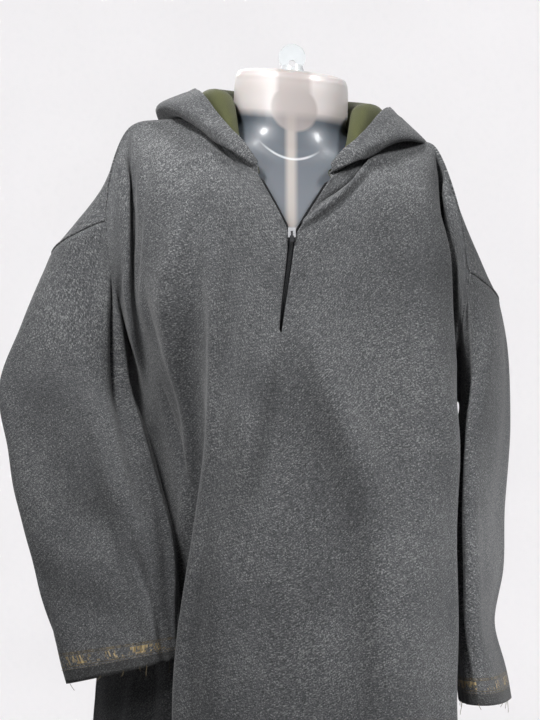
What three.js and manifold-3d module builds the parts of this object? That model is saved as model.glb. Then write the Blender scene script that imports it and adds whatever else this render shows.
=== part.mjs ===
// A hooded pheran, the loose woollen overgarment of Kashmir, hanging on a display torso.
//
// Frame: millimetres, +Z up, the front faces -Y, +X is the wearer's left. The origin is the top of the
// hole in the torso's hanging eye, where a hook carries the whole weight. Everything hangs below it.
//
// The cloth is built the way it is cut. Each panel is a net of stations (lines that run down the cloth)
// and rows (lines that run across it). A cubic curve goes through the net both ways, folds are laid on
// it along its normals, and the surface gets a wall of the cloth's real thickness.
import * as THREE from "three";
import { mergeVertices } from "three/addons/utils/BufferGeometryUtils.js";
import Module from "manifold-3d";

const wasm = await Module();
wasm.setup();

// ---- Driving dimensions, in millimetres and degrees ----
const WOOL = 2.0; // thickness of the milled wool
const LINING = 1.2; // thickness of the hood's lining
const GAP = 0.4; // between neighbouring pieces at a seam
const FOLDED = 0.4; // two normals whose product is under this meet in a folded seam
const SLIVER = 1e-3; // splinters thinner than this are lost where two walls are trimmed clear
const CLEAR = 0.38; // kept free round a panel where its neighbour folds back against it
const LENGTH = 1070; // cut length from shoulder to hem
const HALF_CUT = 310; // half of the cut width of a body panel
const HEM_Z = -1152; // height of the hem below the hanging eye
const ARMHOLE_DEPTH = 260; // cut depth of the armhole
const ZIP_END = 190; // row at which the zip ends
const SLIDER_ROW = 72; // row at which the slider stands
const SHELL = 2.5; // wall of the torso
const TILT = 5.5; // degrees by which the torso leans to the wearer's left
const TORSO_BOTTOM = -668;

const SIDES = { right: -1, left: 1 }; // the wearer's sides, and the sign of X there

// Distance of each station from the centre line, measured on the flat cloth.
const STATIONS = [0, 42, 90, 125, 160, 205, 255, HALF_CUT];
// Distance of each row from the shoulder line, measured on the flat cloth.
const ROWS = [0, 30, 60, 130, 200, ARMHOLE_DEPTH, 350, 460, 580, 700, 860, LENGTH];

// The upper edge of the body: neckline, then shoulder seam, out to the armhole. x, y, z per station.
const TOP_FRONT = {
  right: { x: [-39, -76, -95, -122, -150, -184, -204, -214], y: [-97, -64, -6, -4, -4, -8, -38, -62],
    z: [-152, -120, -86, -85, -86, -93, -138, -205] },
  left: { x: [44, 80, 96, 120, 146, 166, 187, 201], y: [-97, -64, -6, -4, -5, -12, -38, -62],
    z: [-156, -130, -103, -106, -110, -121, -182, -263] },
};
const TOP_BACK = { x: [0, 46], y: [64, 50], z: [-86, -86] };

// Plan of the front panel, right half then left half: x and y of each station in each row.
// Stations: middle, inner chest, outer chest, tuck, ridge, armpit crease, roll, seam.
const FRONT = {
  right: [
    { row: 30, x: [-23, -62, -91, -123, -158, -180, -198], y: [-108, -88, -58, -48, -42, -26, -50] },
    { row: 60, x: [-8, -50, -90, -124, -164, -178, -196], y: [-116, -106, -88, -74, -62, -38, -54] },
    { row: 130, x: [-8, -48, -88, -124, -168, -177, -190], y: [-124, -119, -110, -98, -80, -48, -56] },
    { row: 200, x: [-14, -52, -86, -118, -166, -178, -182], y: [-127, -126, -119, -104, -80, -50, -58] },
    { row: 260, x: [-20, -58, -88, -108, -146, -160, -170], y: [-129, -130, -118, -100, -76, -48, -22] },
    { row: 350, x: [-24, -64, -93, -98, -124, -150, -172, -190],
      y: [-131, -133, -117, -84, -60, -26, -2, 16] },
    { row: 460, x: [-26, -74, -110, -92, -126, -156, -184, -206],
      y: [-133, -136, -110, -66, -44, -18, 0, 20] },
    { row: 580, x: [-26, -82, -130, -102, -138, -170, -200, -220],
      y: [-135, -139, -106, -58, -38, -14, 4, 22] },
    { row: 700, x: [-26, -86, -136, -106, -144, -180, -212, -230],
      y: [-137, -141, -104, -54, -34, -12, 4, 22] },
    { row: 860, x: [-26, -90, -144, -116, -154, -192, -224, -242],
      y: [-140, -144, -106, -52, -30, -12, 4, 22] },
    { row: LENGTH, x: [-26, -94, -153, -128, -166, -206, -240, -258],
      y: [-144, -148, -110, -54, -30, -14, 2, 20] },
  ],
  left: [
    { row: 30, x: [26, 66, 95, 124, 151, 170, 190], y: [-108, -88, -58, -48, -40, -18, -48] },
    { row: 60, x: [6, 50, 94, 128, 156, 172, 192], y: [-116, -104, -88, -72, -54, -22, -52] },
    { row: 130, x: [-2, 44, 92, 134, 166, 176, 190], y: [-124, -118, -108, -90, -66, -22, -50] },
    { row: 200, x: [-12, 40, 92, 139, 172, 170, 179], y: [-127, -127, -118, -98, -70, -26, -34] },
    { row: 260, x: [-18, 38, 93, 143, 178, 170, 168], y: [-129, -132, -124, -102, -72, -30, -2] },
    { row: 350, x: [-22, 38, 96, 148, 186, 176, 164, 154], y: [-131, -135, -128, -104, -72, -34, 0, 32] },
    { row: 460, x: [-24, 40, 100, 152, 186, 175, 165, 156], y: [-133, -138, -130, -106, -74, -34, 6, 44] },
    { row: 580, x: [-24, 42, 104, 155, 187, 175, 166, 158], y: [-135, -141, -132, -107, -76, -36, 10, 54] },
    { row: 700, x: [-24, 44, 107, 157, 186, 175, 168, 162], y: [-137, -143, -134, -108, -77, -38, 14, 60] },
    { row: 860, x: [-24, 46, 111, 163, 196, 190, 182, 171], y: [-140, -146, -137, -110, -74, -26, 22, 64] },
    { row: LENGTH, x: [-24, 48, 116, 171, 206, 203, 196, 183],
      y: [-144, -150, -141, -114, -76, -26, 24, 66] },
  ],
};

// Plan of the back panel, in the same way.
const BACK = {
  right: [
    { row: 30, x: [0, -45, -93, -123, -153, -188, -215], y: [80, 74, 50, 40, 30, 16, -18] },
    { row: 60, x: [0, -44, -92, -124, -156, -192, -224], y: [92, 90, 76, 66, 52, 32, 4] },
    { row: 130, x: [0, -44, -92, -126, -160, -198, -236], y: [106, 104, 98, 92, 80, 62, 34] },
    { row: 200, x: [0, -44, -92, -126, -160, -192, -218], y: [112, 110, 104, 98, 88, 74, 56] },
    { row: 260, x: [0, -44, -92, -125, -154, -178, -190], y: [114, 112, 106, 98, 84, 64, 40] },
    { row: 350, x: [-2, -46, -94, -126, -154, -178, -190, -190], y: [116, 114, 107, 97, 81, 58, 36, 16] },
    { row: 460, x: [-6, -52, -102, -135, -164, -188, -203, -206], y: [118, 116, 109, 98, 82, 60, 38, 20] },
    { row: 580, x: [-10, -58, -110, -144, -174, -200, -216, -220], y: [119, 118, 111, 100, 84, 62, 40, 22] },
    { row: 700, x: [-12, -61, -115, -150, -181, -208, -226, -230], y: [120, 119, 112, 101, 85, 63, 42, 22] },
    { row: 860, x: [-15, -66, -121, -157, -190, -218, -237, -242], y: [122, 121, 115, 103, 87, 64, 42, 22] },
    { row: LENGTH, x: [-18, -72, -130, -168, -202, -232, -252, -258],
      y: [126, 125, 119, 107, 90, 66, 43, 20] },
  ],
  left: [
    { row: 30, x: [0, 45, 93, 122, 149, 173, 197], y: [80, 74, 50, 40, 32, 22, -10] },
    { row: 60, x: [0, 44, 92, 124, 152, 178, 206], y: [92, 90, 76, 66, 54, 38, 14] },
    { row: 130, x: [0, 44, 92, 124, 156, 188, 216], y: [106, 104, 98, 92, 84, 72, 50] },
    { row: 200, x: [0, 44, 92, 124, 154, 180, 200], y: [112, 110, 104, 99, 94, 86, 74] },
    { row: 260, x: [0, 44, 91, 122, 147, 166, 176], y: [114, 112, 106, 101, 92, 78, 56] },
    { row: 350, x: [-2, 42, 86, 114, 137, 153, 158, 154], y: [116, 114, 108, 100, 88, 72, 52, 32] },
    { row: 460, x: [-6, 38, 82, 112, 136, 154, 160, 156], y: [118, 117, 111, 103, 92, 78, 61, 44] },
    { row: 580, x: [-10, 34, 80, 111, 136, 155, 162, 158], y: [119, 118, 113, 106, 96, 84, 70, 54] },
    { row: 700, x: [-12, 34, 80, 112, 138, 158, 166, 162], y: [120, 119, 115, 108, 99, 88, 75, 60] },
    { row: 860, x: [-15, 33, 82, 116, 143, 165, 175, 171], y: [122, 121, 117, 111, 102, 92, 79, 64] },
    { row: LENGTH, x: [-18, 34, 86, 122, 152, 176, 187, 183], y: [126, 125, 121, 114, 105, 95, 82, 66] },
  ],
};

// The armhole seams, from the shoulder seam down the front to the underarm and up the back.
// share: position along the loop, 0 to 0.5 down the front and 0.5 to 1 up the back.
const ARMHOLE = {
  right: [
    { share: 0, x: -213, y: -62, z: -205 },
    { share: 0.03, x: -212, y: -64, z: -217 },
    { share: 0.12, x: -207, y: -66, z: -248 },
    { share: 0.26, x: -198, y: -54, z: -292 },
    { share: 0.38, x: -190, y: -26, z: -326 },
    { share: 0.5, x: -186, y: 8, z: -350 },
    { share: 0.6, x: -205, y: 36, z: -330 },
    { share: 0.71, x: -237, y: 47, z: -294 },
    { share: 0.81, x: -266, y: 30, z: -258 },
    { share: 0.9, x: -275, y: -10, z: -236 },
    { share: 0.96, x: -249, y: -44, z: -219 },
  ],
  left: [
    { share: 0, x: 201, y: -62, z: -263 },
    { share: 0.03, x: 200, y: -62, z: -273 },
    { share: 0.12, x: 196, y: -60, z: -300 },
    { share: 0.26, x: 191, y: -36, z: -344 },
    { share: 0.38, x: 182, y: -8, z: -378 },
    { share: 0.5, x: 178, y: 22, z: -398 },
    { share: 0.6, x: 196, y: 56, z: -376 },
    { share: 0.71, x: 222, y: 72, z: -338 },
    { share: 0.81, x: 238, y: 46, z: -304 },
    { share: 0.9, x: 236, y: 4, z: -287 },
    { share: 0.96, x: 220, y: -34, z: -274 },
  ],
};

// The sleeves below the armhole: flattened rings. The half width runs along a bearing in plan (degrees,
// 0 is +X and 90 is -Y). drop is how much lower the far end of that width lies, and dip how much lower the
// side next to the body. lead turns the cloth round the ring.
const SLEEVE = {
  right: [
    { along: 84, x: -249, y: -24, z: -352, half: 63, thick: 36, bearing: 180, drop: -66, dip: 0, lead: 0 },
    { along: 168, x: -252, y: -40, z: -418, half: 86, thick: 30, bearing: 182, drop: -50, dip: 0, lead: 0 },
    { along: 248, x: -238, y: -52, z: -486, half: 89, thick: 26, bearing: 183, drop: -32, dip: 0, lead: 0 },
    { along: 332, x: -220, y: -60, z: -558, half: 87, thick: 22, bearing: 184, drop: -10, dip: 0, lead: 0 },
    { along: 418, x: -207, y: -66, z: -632, half: 79, thick: 20, bearing: 184, drop: 8, dip: 0, lead: 0 },
    { along: 468, x: -198, y: -70, z: -678, half: 71, thick: 20, bearing: 184, drop: 20, dip: 0, lead: 0 },
    { along: 505, x: -191, y: -72, z: -713, half: 65, thick: 21, bearing: 184, drop: 30, dip: 0, lead: 0 },
  ],
  left: [
    { along: 84, x: 223, y: 8, z: -384, half: 64, thick: 28, bearing: 100, drop: -30, dip: 70, lead: 100 },
    { along: 160, x: 220, y: 8, z: -448, half: 73, thick: 32, bearing: 103, drop: -12, dip: 34, lead: 100 },
    { along: 244, x: 215, y: 9, z: -526, half: 75, thick: 30, bearing: 103, drop: -6, dip: 12, lead: 100 },
    { along: 328, x: 212, y: 9, z: -608, half: 74, thick: 26, bearing: 101, drop: 0, dip: 0, lead: 100 },
    { along: 392, x: 209, y: 8, z: -672, half: 73, thick: 21, bearing: 98, drop: 0, dip: 0, lead: 100 },
    { along: 432, x: 215, y: 6, z: -712, half: 73, thick: 26, bearing: 97, drop: 0, dip: 0, lead: 100 },
    { along: 474, x: 222, y: 4, z: -753, half: 74, thick: 29, bearing: 96, drop: 0, dip: 0, lead: 100 },
  ],
};
// Where places on the armhole loop lie on a sleeve ring: 0 is the inner end, 90 the front, 180 the outer end.
const RING_TURN = {
  share: [0, 0.12, 0.26, 0.38, 0.5, 0.6, 0.71, 0.81, 0.9, 0.96, 1],
  turn: [78, 48, 22, 2, -22, -58, -105, -148, -180, -240, -282],
};

// The hood, thrown back: sections round the neck at a bearing from the throat (0) to the nape (180), each
// a row of points [distance from the neck's axis, height]. The cloth stands up from the neck seam, falls
// outwards down its leg into a trough, turns, and comes back up its face to the edge round the wearer's face.
// On the wearer's left the face sags by a few millimetres more.
const HOOD = [
  { bearing: 22, sag: 0, stand: [104.5, -152.5], leg: [104.5, -150.5], trough: [104.5, -148.5],
    turn: [104.5, -146.5], face: [104, -144.5], edge: [103.5, -142] },
  { bearing: 31, sag: 0, stand: [102, -138], leg: [105, -137.5], trough: [109, -140], turn: [113, -138],
    face: [112.5, -129.5], edge: [107.5, -120.5] },
  { bearing: 40, sag: 0, stand: [97, -119], leg: [101, -118], trough: [109.5, -127], turn: [118, -129],
    face: [121, -118.5], edge: [110, -106] },
  { bearing: 50, sag: 2, stand: [89, -92], leg: [95, -91], trough: [104.5, -111], turn: [114, -123.5],
    face: [126, -108], edge: [111, -89.5] },
  { bearing: 62, sag: 6, stand: [82, -73], leg: [91, -71], trough: [104, -96], turn: [117, -111],
    face: [131, -95], edge: [110, -73] },
  { bearing: 88, sag: 12, stand: [81, -64], leg: [93, -62], trough: [112, -77], turn: [136, -95],
    face: [152, -86], edge: [112, -60] },
  { bearing: 118, sag: 8, stand: [78, -58], leg: [93, -60], trough: [126, -104], turn: [152, -126],
    face: [169, -106], edge: [130, -70] },
  { bearing: 150, sag: 0, stand: [73, -58], leg: [93, -80], trough: [132, -226], turn: [152, -250],
    face: [180, -176], edge: [152, -80] },
  { bearing: 180, sag: 0, stand: [71, -58], leg: [93, -88], trough: [124, -290], turn: [141, -318],
    face: [172, -216], edge: [150, -86] },
];

// The torso: half width, and depth to the front and to the back, at heights along its own axis.
const TORSO = [
  { z: -31, half: 52, front: 44, back: 39, power: 2.1 },
  { z: -33.2, half: 59, front: 51, back: 45, power: 2.1 },
  { z: -38.5, half: 63.6, front: 55, back: 48, power: 2.1 },
  { z: -46, half: 65, front: 56.5, back: 49, power: 2.1 },
  { z: -72, half: 66, front: 58, back: 50, power: 2.1 },
  { z: -100, half: 69, front: 60, back: 52, power: 2.1 },
  { z: -113.2, half: 89.5, front: 63, back: 59, power: 2.1 },
  { z: -126.2, half: 123.5, front: 66, back: 62, power: 2.2 },
  { z: -145, half: 150, front: 76, back: 70, power: 2.3 },
  { z: -174, half: 160, front: 91, back: 80, power: 2.4 },
  { z: -220, half: 162, front: 106, back: 88, power: 2.4 },
  { z: -300, half: 150, front: 107, back: 90, power: 2.4 },
  { z: -400, half: 120, front: 78, back: 82, power: 2.3 },
  { z: -560, half: 106, front: 58, back: 82, power: 2.3 },
  { z: TORSO_BOTTOM, half: 106, front: 56, back: 84, power: 2.3 },
];
// How the torso's axis drifts towards the wearer's right as it goes down, in millimetres per millimetre.
const TORSO_DRIFT = 0.04;

// ---- Curves through tables ----

// A cubic through values at knots, with slopes taken from the neighbours. Works on numbers and on rows.
function through(knots, values, at) {
  const last = knots.length - 1;
  let i = 0;
  while (i < last - 1 && at > knots[i + 1]) i++;
  const slope = (k) => {
    if (k === 0) return (values[1] - values[0]) / (knots[1] - knots[0]);
    if (k === last) return (values[last] - values[last - 1]) / (knots[last] - knots[last - 1]);
    const before = knots[k] - knots[k - 1];
    const after = knots[k + 1] - knots[k];
    const rise = (values[k] - values[k - 1]) / before;
    const next = (values[k + 1] - values[k]) / after;
    return (rise * after + next * before) / (before + after);
  };
  const span = knots[i + 1] - knots[i];
  const t = (at - knots[i]) / span;
  const h = t * t * (3 - 2 * t);
  return (
    values[i] * (1 - h) +
    values[i + 1] * h +
    span * slope(i) * t * (1 - t) * (1 - t) -
    span * slope(i + 1) * t * t * (1 - t)
  );
}

// The same through a closed loop of values, whose knots run from 0 to 1.
function aroundLoop(knots, values, at) {
  const n = knots.length;
  const wrapped = at - Math.floor(at);
  const k = [knots[n - 2] - 1, knots[n - 1] - 1, ...knots, 1, 1 + knots[1]];
  const v = [values[n - 2], values[n - 1], ...values, values[0], values[1]];
  return through(k, v, wrapped);
}

const smooth = (t) => {
  const c = Math.min(1, Math.max(0, t));
  return c * c * (3 - 2 * c);
};
const column = (table, name) => table.map((row) => row[name]);
const steps = (from, to, n) => Array.from({ length: n + 1 }, (_, i) => from + ((to - from) * i) / n);
const radians = (degrees) => (degrees * Math.PI) / 180;

// A point of a profile of [a, b] points: v counts whole points, and the curve keeps the points' own spacing.
function alongProfile(profile, v) {
  const knots = [0];
  for (let i = 1; i < profile.length; i++) {
    const step = Math.hypot(profile[i][0] - profile[i - 1][0], profile[i][1] - profile[i - 1][1]);
    knots.push(knots[i - 1] + step);
  }
  const i = Math.min(profile.length - 2, Math.floor(v));
  const at = knots[i] + (knots[i + 1] - knots[i]) * (v - i);
  return [0, 1].map((k) => through(knots, column(profile, k), at));
}

// ---- The cloth's surface ----

// A point of an armhole seam at a share of its loop.
function armholePoint(side, share) {
  const table = ARMHOLE[side];
  const at = (name) => aroundLoop(column(table, "share"), column(table, name), share);
  return [at("x"), at("y"), at("z")];
}

// Share of the armhole loop at a row of the front or the back panel.
const armholeShare = (panel, row) => {
  const down = (0.5 * row) / ARMHOLE_DEPTH;
  return panel === "front" ? down : 1 - down;
};

// Height of a station at a row: straight from the upper edge to the hem.
const hangingZ = (topZ, row) => topZ + ((HEM_Z - topZ) * row) / LENGTH;

// The eight stations of one half of a panel, each [x, y, z], at any row.
function stationsAt(panel, side, row) {
  const top = panel === "front" ? TOP_FRONT[side] : backTop(side);
  const plan = (panel === "front" ? FRONT : BACK)[side];
  const last = STATIONS.length - 1;
  const underarm = armholePoint(side, 0.5);
  return STATIONS.map((_, s) => {
    if (s === last && row <= ARMHOLE_DEPTH) return armholePoint(side, armholeShare(panel, row));
    const below = column(plan, "row").filter((row) => s !== last || row >= ARMHOLE_DEPTH);
    const rows = s === last ? below : [0, ...below];
    const pick = (axis, first) => rows.map((r) => {
      if (r === 0) return first;
      const entry = plan[ROWS.indexOf(r) - 1][axis];
      return s < entry.length ? entry[s] : underarm[axis === "x" ? 0 : 1];
    });
    const x = through(rows, pick("x", top.x[s]), row);
    const y = through(rows, pick("y", top.y[s]), row);
    const z = s === last
      ? underarm[2] + ((HEM_Z - underarm[2]) * (row - ARMHOLE_DEPTH)) / (LENGTH - ARMHOLE_DEPTH)
      : hangingZ(top.z[s], row);
    return [x, y, z];
  });
}

// The back's upper edge: its own neckline, then the shoulder seam that it shares with the front.
function backTop(side) {
  const sign = SIDES[side];
  const lean = Math.tan(radians(TILT));
  const front = TOP_FRONT[side];
  const own = (name, change) => [...TOP_BACK[name].map(change), ...front[name].slice(2)];
  return {
    x: own("x", (v) => v * sign),
    y: own("y", (v) => v),
    z: own("z", (v, i) => v - TOP_BACK.x[i] * sign * lean),
  };
}

// A point of a panel: p is measured across from the centre line, row down from the shoulder line.
function panelPoint(panel, side, p, row) {
  if (panel === "back" && row === 0 && p >= STATIONS[2]) return panelPoint("front", side, p, row);
  const net = stationsAt(panel, side, row);
  return new THREE.Vector3(...[0, 1, 2].map((axis) => through(STATIONS, net.map((s) => s[axis]), p)));
}

// ---- Folds ----

// Each fold runs along the cloth from one place to another: p is across, row is down, both on the flat
// cloth. depth is outwards when positive. ends says over how many millimetres it rises and fades.
const FOLDS = {
  front_right: [
    { p0: 128, row0: 90, p1: 150, row1: 330, width: 13, depth: -9, ends: 90 },
    { p0: 150, row0: 40, p1: 172, row1: 300, width: 11, depth: 6, ends: 80 },
    { p0: 60, row0: 215, p1: 20, row1: 420, width: 20, depth: -7, ends: 110 },
    { p0: 66, row0: 200, p1: 62, row1: 1070, width: 22, depth: 5, ends: 160 },
    { p0: 34, row0: 700, p1: 40, row1: 1200, width: 24, depth: -9, ends: 220 },
  ],
  front_left: [
    { p0: 28, row0: 170, p1: 98, row1: 560, width: 26, depth: -12, ends: 160 },
    { p0: 98, row0: 420, p1: 104, row1: 1200, width: 22, depth: -9, ends: 180 },
    { p0: 52, row0: 420, p1: 40, row1: 1200, width: 26, depth: 8, ends: 200 },
    { p0: 150, row0: 330, p1: 150, row1: 1200, width: 20, depth: 7, ends: 160 },
    { p0: 128, row0: 180, p1: 148, row1: 460, width: 18, depth: -5, ends: 120 },
  ],
  back_right: [
    { p0: 30, row0: 240, p1: 44, row1: 1200, width: 26, depth: -15, ends: 260 },
    { p0: 78, row0: 160, p1: 96, row1: 1200, width: 24, depth: 12, ends: 240 },
    { p0: 128, row0: 200, p1: 142, row1: 1200, width: 20, depth: -13, ends: 220 },
    { p0: 176, row0: 120, p1: 192, row1: 1200, width: 22, depth: 9, ends: 200 },
    { p0: 236, row0: 330, p1: 240, row1: 1200, width: 18, depth: -7, ends: 160 },
  ],
  back_left: [
    { p0: 14, row0: 260, p1: 6, row1: 1200, width: 22, depth: 12, ends: 220 },
    { p0: 56, row0: 180, p1: 58, row1: 1200, width: 26, depth: -14, ends: 260 },
    { p0: 110, row0: 220, p1: 112, row1: 1200, width: 24, depth: 13, ends: 240 },
    { p0: 160, row0: 160, p1: 168, row1: 1200, width: 20, depth: -12, ends: 200 },
    { p0: 218, row0: 300, p1: 222, row1: 1200, width: 22, depth: 8, ends: 180 },
  ],
  // On a sleeve, p is the share of the loop and row the distance down from the armhole.
  sleeve_right: [
    { p0: 0.93, row0: 20, p1: 0.99, row1: 420, width: 0.03, depth: -8, ends: 120 },
    { p0: 0.07, row0: 20, p1: 0.1, row1: 520, width: 0.035, depth: 5, ends: 100 },
    { p0: 0.9, row0: 330, p1: 1.03, row1: 520, width: 0.045, depth: -5, ends: 90 },
    { p0: 0.7, row0: 60, p1: 0.66, row1: 520, width: 0.04, depth: -8, ends: 140 },
  ],
  sleeve_left: [
    { p0: 0.95, row0: 40, p1: 0.95, row1: 380, width: 0.035, depth: -5, ends: 120 },
    { p0: 0.0, row0: 10, p1: 0.0, row1: 420, width: 0.022, depth: 5, ends: 100 },
    { p0: 0.72, row0: 60, p1: 0.68, row1: 480, width: 0.05, depth: -9, ends: 140 },
    { p0: 0.3, row0: 60, p1: 0.34, row1: 480, width: 0.05, depth: -7, ends: 140 },
  ],
};

// How far the cloth stands out at a place, from all the folds of its table.
function foldHeight(table, p, row, loop) {
  return table.reduce((sum, fold) => {
    const along = (row - fold.row0) / (fold.row1 - fold.row0);
    const envelope = smooth((row - fold.row0) / fold.ends) * smooth((fold.row1 - row) / fold.ends);
    let across = p - (fold.p0 + (fold.p1 - fold.p0) * smooth(along));
    if (loop) across -= Math.round(across);
    return sum + fold.depth * envelope * Math.exp(-((across / fold.width) ** 2));
  }, 0);
}

// ---- Walls ----

// A surface: points, quads that face outwards, and for each point how far the folds lift it.
function newSurface() {
  return { points: [], lift: [], quads: [] };
}

function vertexNormals(surface) {
  const normals = surface.points.map(() => new THREE.Vector3());
  surface.quads.forEach((q) => {
    const [a, b, c, d] = q.map((i) => surface.points[i]);
    const n = new THREE.Vector3().crossVectors(c.clone().sub(a), d.clone().sub(b));
    q.forEach((i) => normals[i].add(n));
  });
  return normals.map((n) => n.normalize());
}

// Normals averaged with their neighbours', so that the wall's inner side doesn't cross itself in tight folds.
function softNormals(surface, passes) {
  let normals = vertexNormals(surface);
  for (let pass = 0; pass < passes; pass++) {
    const next = normals.map((n) => n.clone().multiplyScalar(2));
    surface.quads.forEach((q) => q.forEach((a, k) => next[a].add(normals[q[(k + 1) % 4]])));
    normals = next.map((n) => n.normalize());
  }
  return normals;
}

// Lays the folds on the surface along its normals.
function layFolds(surface) {
  const normals = vertexNormals(surface);
  surface.points.forEach((point, i) => point.addScaledVector(normals[i], surface.lift[i]));
}

// The directed edges that only one quad uses: the surface's border.
function borderEdges(surface) {
  const found = new Map();
  surface.quads.forEach((q) => q.forEach((a, k) => {
    const b = q[(k + 1) % q.length];
    if (a !== b) found.set(a + "," + b, [a, b]);
  }));
  const alone = ([key]) => !found.has(key.split(",").reverse().join(","));
  return [...found.entries()].filter(alone).map(([, edge]) => edge);
}

// Draws the border back by half a seam's gap, towards the inside of its own piece.
function drawBackBorder(surface, distance = GAP / 2) {
  const border = new Set(borderEdges(surface).flat());
  const pull = new Map();
  surface.quads.forEach((q) => q.forEach((a, k) => {
    [q[(k + 1) % 4], q[(k + 3) % 4], q[(k + 2) % 4]].forEach((b) => {
      if (border.has(a) && !border.has(b)) {
        const sum = pull.get(a) ?? new THREE.Vector3();
        pull.set(a, sum.add(surface.points[b].clone().sub(surface.points[a]).normalize()));
      }
    });
  }));
  pull.forEach((direction, i) => surface.points[i].addScaledVector(direction.normalize(), distance));
}

// Gives the borders of neighbouring surfaces one shared normal where they meet, unless the seam is folded.
function matchNormals(surfaces, folded) {
  const rims = surfaces.map((surface) => [...new Set(borderEdges(surface).flat())]);
  const near = 4 * GAP;
  surfaces.forEach((surface) => (surface.normals = softNormals(surface, 2)));
  const merged = surfaces.map((surface, a) => rims[a].map((i) => {
    const sum = surface.normals[i].clone();
    surfaces.forEach((other, b) => {
      if (a === b) return;
      rims[b].forEach((j) => {
        const meets = surface.points[i].distanceTo(other.points[j]) < near;
        if (meets && surface.normals[i].dot(other.normals[j]) > folded) sum.add(other.normals[j]);
      });
    });
    return sum.normalize();
  }));
  surfaces.forEach((surface, a) => rims[a].forEach((i, k) => surface.normals[i].copy(merged[a][k])));
}

// Closes a surface into a wall. outer and inner are distances along the normals.
function wall(surface, outer, inner) {
  const n = surface.points.length;
  const at = (distance) => surface.points.flatMap((p, i) =>
    p.clone().addScaledVector(surface.normals[i], distance).toArray());
  const triangles = [];
  surface.quads.forEach(([a, b, c, d]) => {
    triangles.push(a, b, c, a, c, d);
    triangles.push(n + a, n + c, n + b, n + a, n + d, n + c);
  });
  borderEdges(surface).forEach(([a, b]) => triangles.push(b, a, n + a, b, n + a, n + b));
  const geometry = new THREE.BufferGeometry();
  geometry.setAttribute("position", new THREE.Float32BufferAttribute([...at(outer), ...at(inner)], 3));
  geometry.setIndex(triangles);
  return geometry;
}

// Adds a grid of points to a surface. place(i, j) gives {point, lift}, or {index} to reuse a point.
function addGrid(surface, across, down, place, flip) {
  const index = across.map((u, i) => down.map((v, j) => {
    const made = place(u, v, i, j);
    if (made.index !== undefined) return made.index;
    surface.points.push(made.point);
    surface.lift.push(made.lift);
    return surface.points.length - 1;
  }));
  for (let i = 0; i < across.length - 1; i++) {
    for (let j = 0; j < down.length - 1; j++) {
      const quad = [index[i][j], index[i][j + 1], index[i + 1][j + 1], index[i + 1][j]];
      surface.quads.push(flip ? quad.reverse() : quad);
    }
  }
  return index;
}

// ---- Solids ----

const { Manifold } = wasm;

function toSolid(geometry, merging = 1e-4) {
  const merged = mergeVertices(geometry, merging);
  return new Manifold(new wasm.Mesh({
    numProp: 3,
    vertProperties: merged.attributes.position.array,
    triVerts: new Uint32Array(merged.index.array),
  }));
}

function toGeometry(manifold) {
  const mesh = manifold.getMesh();
  const geometry = new THREE.BufferGeometry();
  geometry.setAttribute("position", new THREE.Float32BufferAttribute(mesh.vertProperties, 3));
  geometry.setIndex([...mesh.triVerts]);
  return geometry;
}

// The room a panel takes up: the panel itself, and the panel with the clearance all round it.
function roomOf(surface) {
  const grown = { ...surface, points: surface.points.map((p) => p.clone()) };
  drawBackBorder(grown, -CLEAR);
  const around = [[grown, CLEAR], [surface, 0.1]];
  return around.map(([shape, clear]) => toSolid(wall(shape, clear, -WOOL - clear)));
}

// Trims a wall to clear its neighbours' rooms, and keeps the one piece that is left.
function trim(geometry, rooms) {
  const largest = (solid) => solid.decompose().sort((a, b) => b.volume() - a.volume())[0];
  const left = rooms.flat().reduce((solid, room) => solid.subtract(room), toSolid(geometry));
  return toGeometry(largest(toSolid(toGeometry(largest(left)), SLIVER)));
}

// ---- The body panels ----

// Columns across half a panel and rows down it. The same lists serve every seam that meets them.
const NECK_COLUMNS = [0, 14, 28, 42, 54, 66, 78, 90];
const SIDE_COLUMNS = [108, 125, 142, 160, 175, 190, 205, 221, 238, 255, 273, 291, HALF_CUT];
const ARMHOLE_ROWS = [0, 24, 48, SLIDER_ROW, 100, 130, 160, ZIP_END, 225, ARMHOLE_DEPTH];
const SKIRT_ROWS = [300, 345, 390, 440, 495, 555, 620, 690, 770, 860, 960, LENGTH];
const BODY_ROWS = [...ARMHOLE_ROWS, ...SKIRT_ROWS];

// The centre line of the front, and half the width of its opening: a V down to the slider, then a slit.
const CENTRE = [
  { row: 0, x: 2 },
  { row: SLIDER_ROW, x: -1 },
  { row: ZIP_END, x: -14 },
  { row: 350, x: -23 },
  { row: LENGTH, x: -26 },
];
const OPENING = [{ row: 0, half: 41.5 }, { row: SLIDER_ROW, half: 3.6 }, { row: ZIP_END, half: 1.4 }];
const centreX = (row) => through(column(CENTRE, "row"), column(CENTRE, "x"), row);
function openingHalf(row) {
  const [top, slider, end] = OPENING;
  if (row < SLIDER_ROW) return slider.half + (top.half - slider.half) * (1 - row / SLIDER_ROW) ** 1.1;
  return slider.half + ((end.half - slider.half) * (row - SLIDER_ROW)) / (end.row - SLIDER_ROW);
}

function frontSurface() {
  const surface = newSurface();
  const columns = [...NECK_COLUMNS, ...SIDE_COLUMNS];
  let middle = [];
  Object.entries(SIDES).forEach(([side, sign]) => {
    const index = addGrid(surface, columns, BODY_ROWS, (p, row, i, j) => {
      if (i === 0 && row > ZIP_END && middle.length) return { index: middle[j] };
      const point = panelPoint("front", side, p, row);
      if (i === 0) point.x = centreX(row) + (row <= ZIP_END ? sign * openingHalf(row) : 0);
      return { point, lift: foldHeight(FOLDS["front_" + side], p, row, false) };
    }, sign > 0);
    if (!middle.length) middle = index[0];
  });
  layFolds(surface);
  return surface;
}

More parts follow.
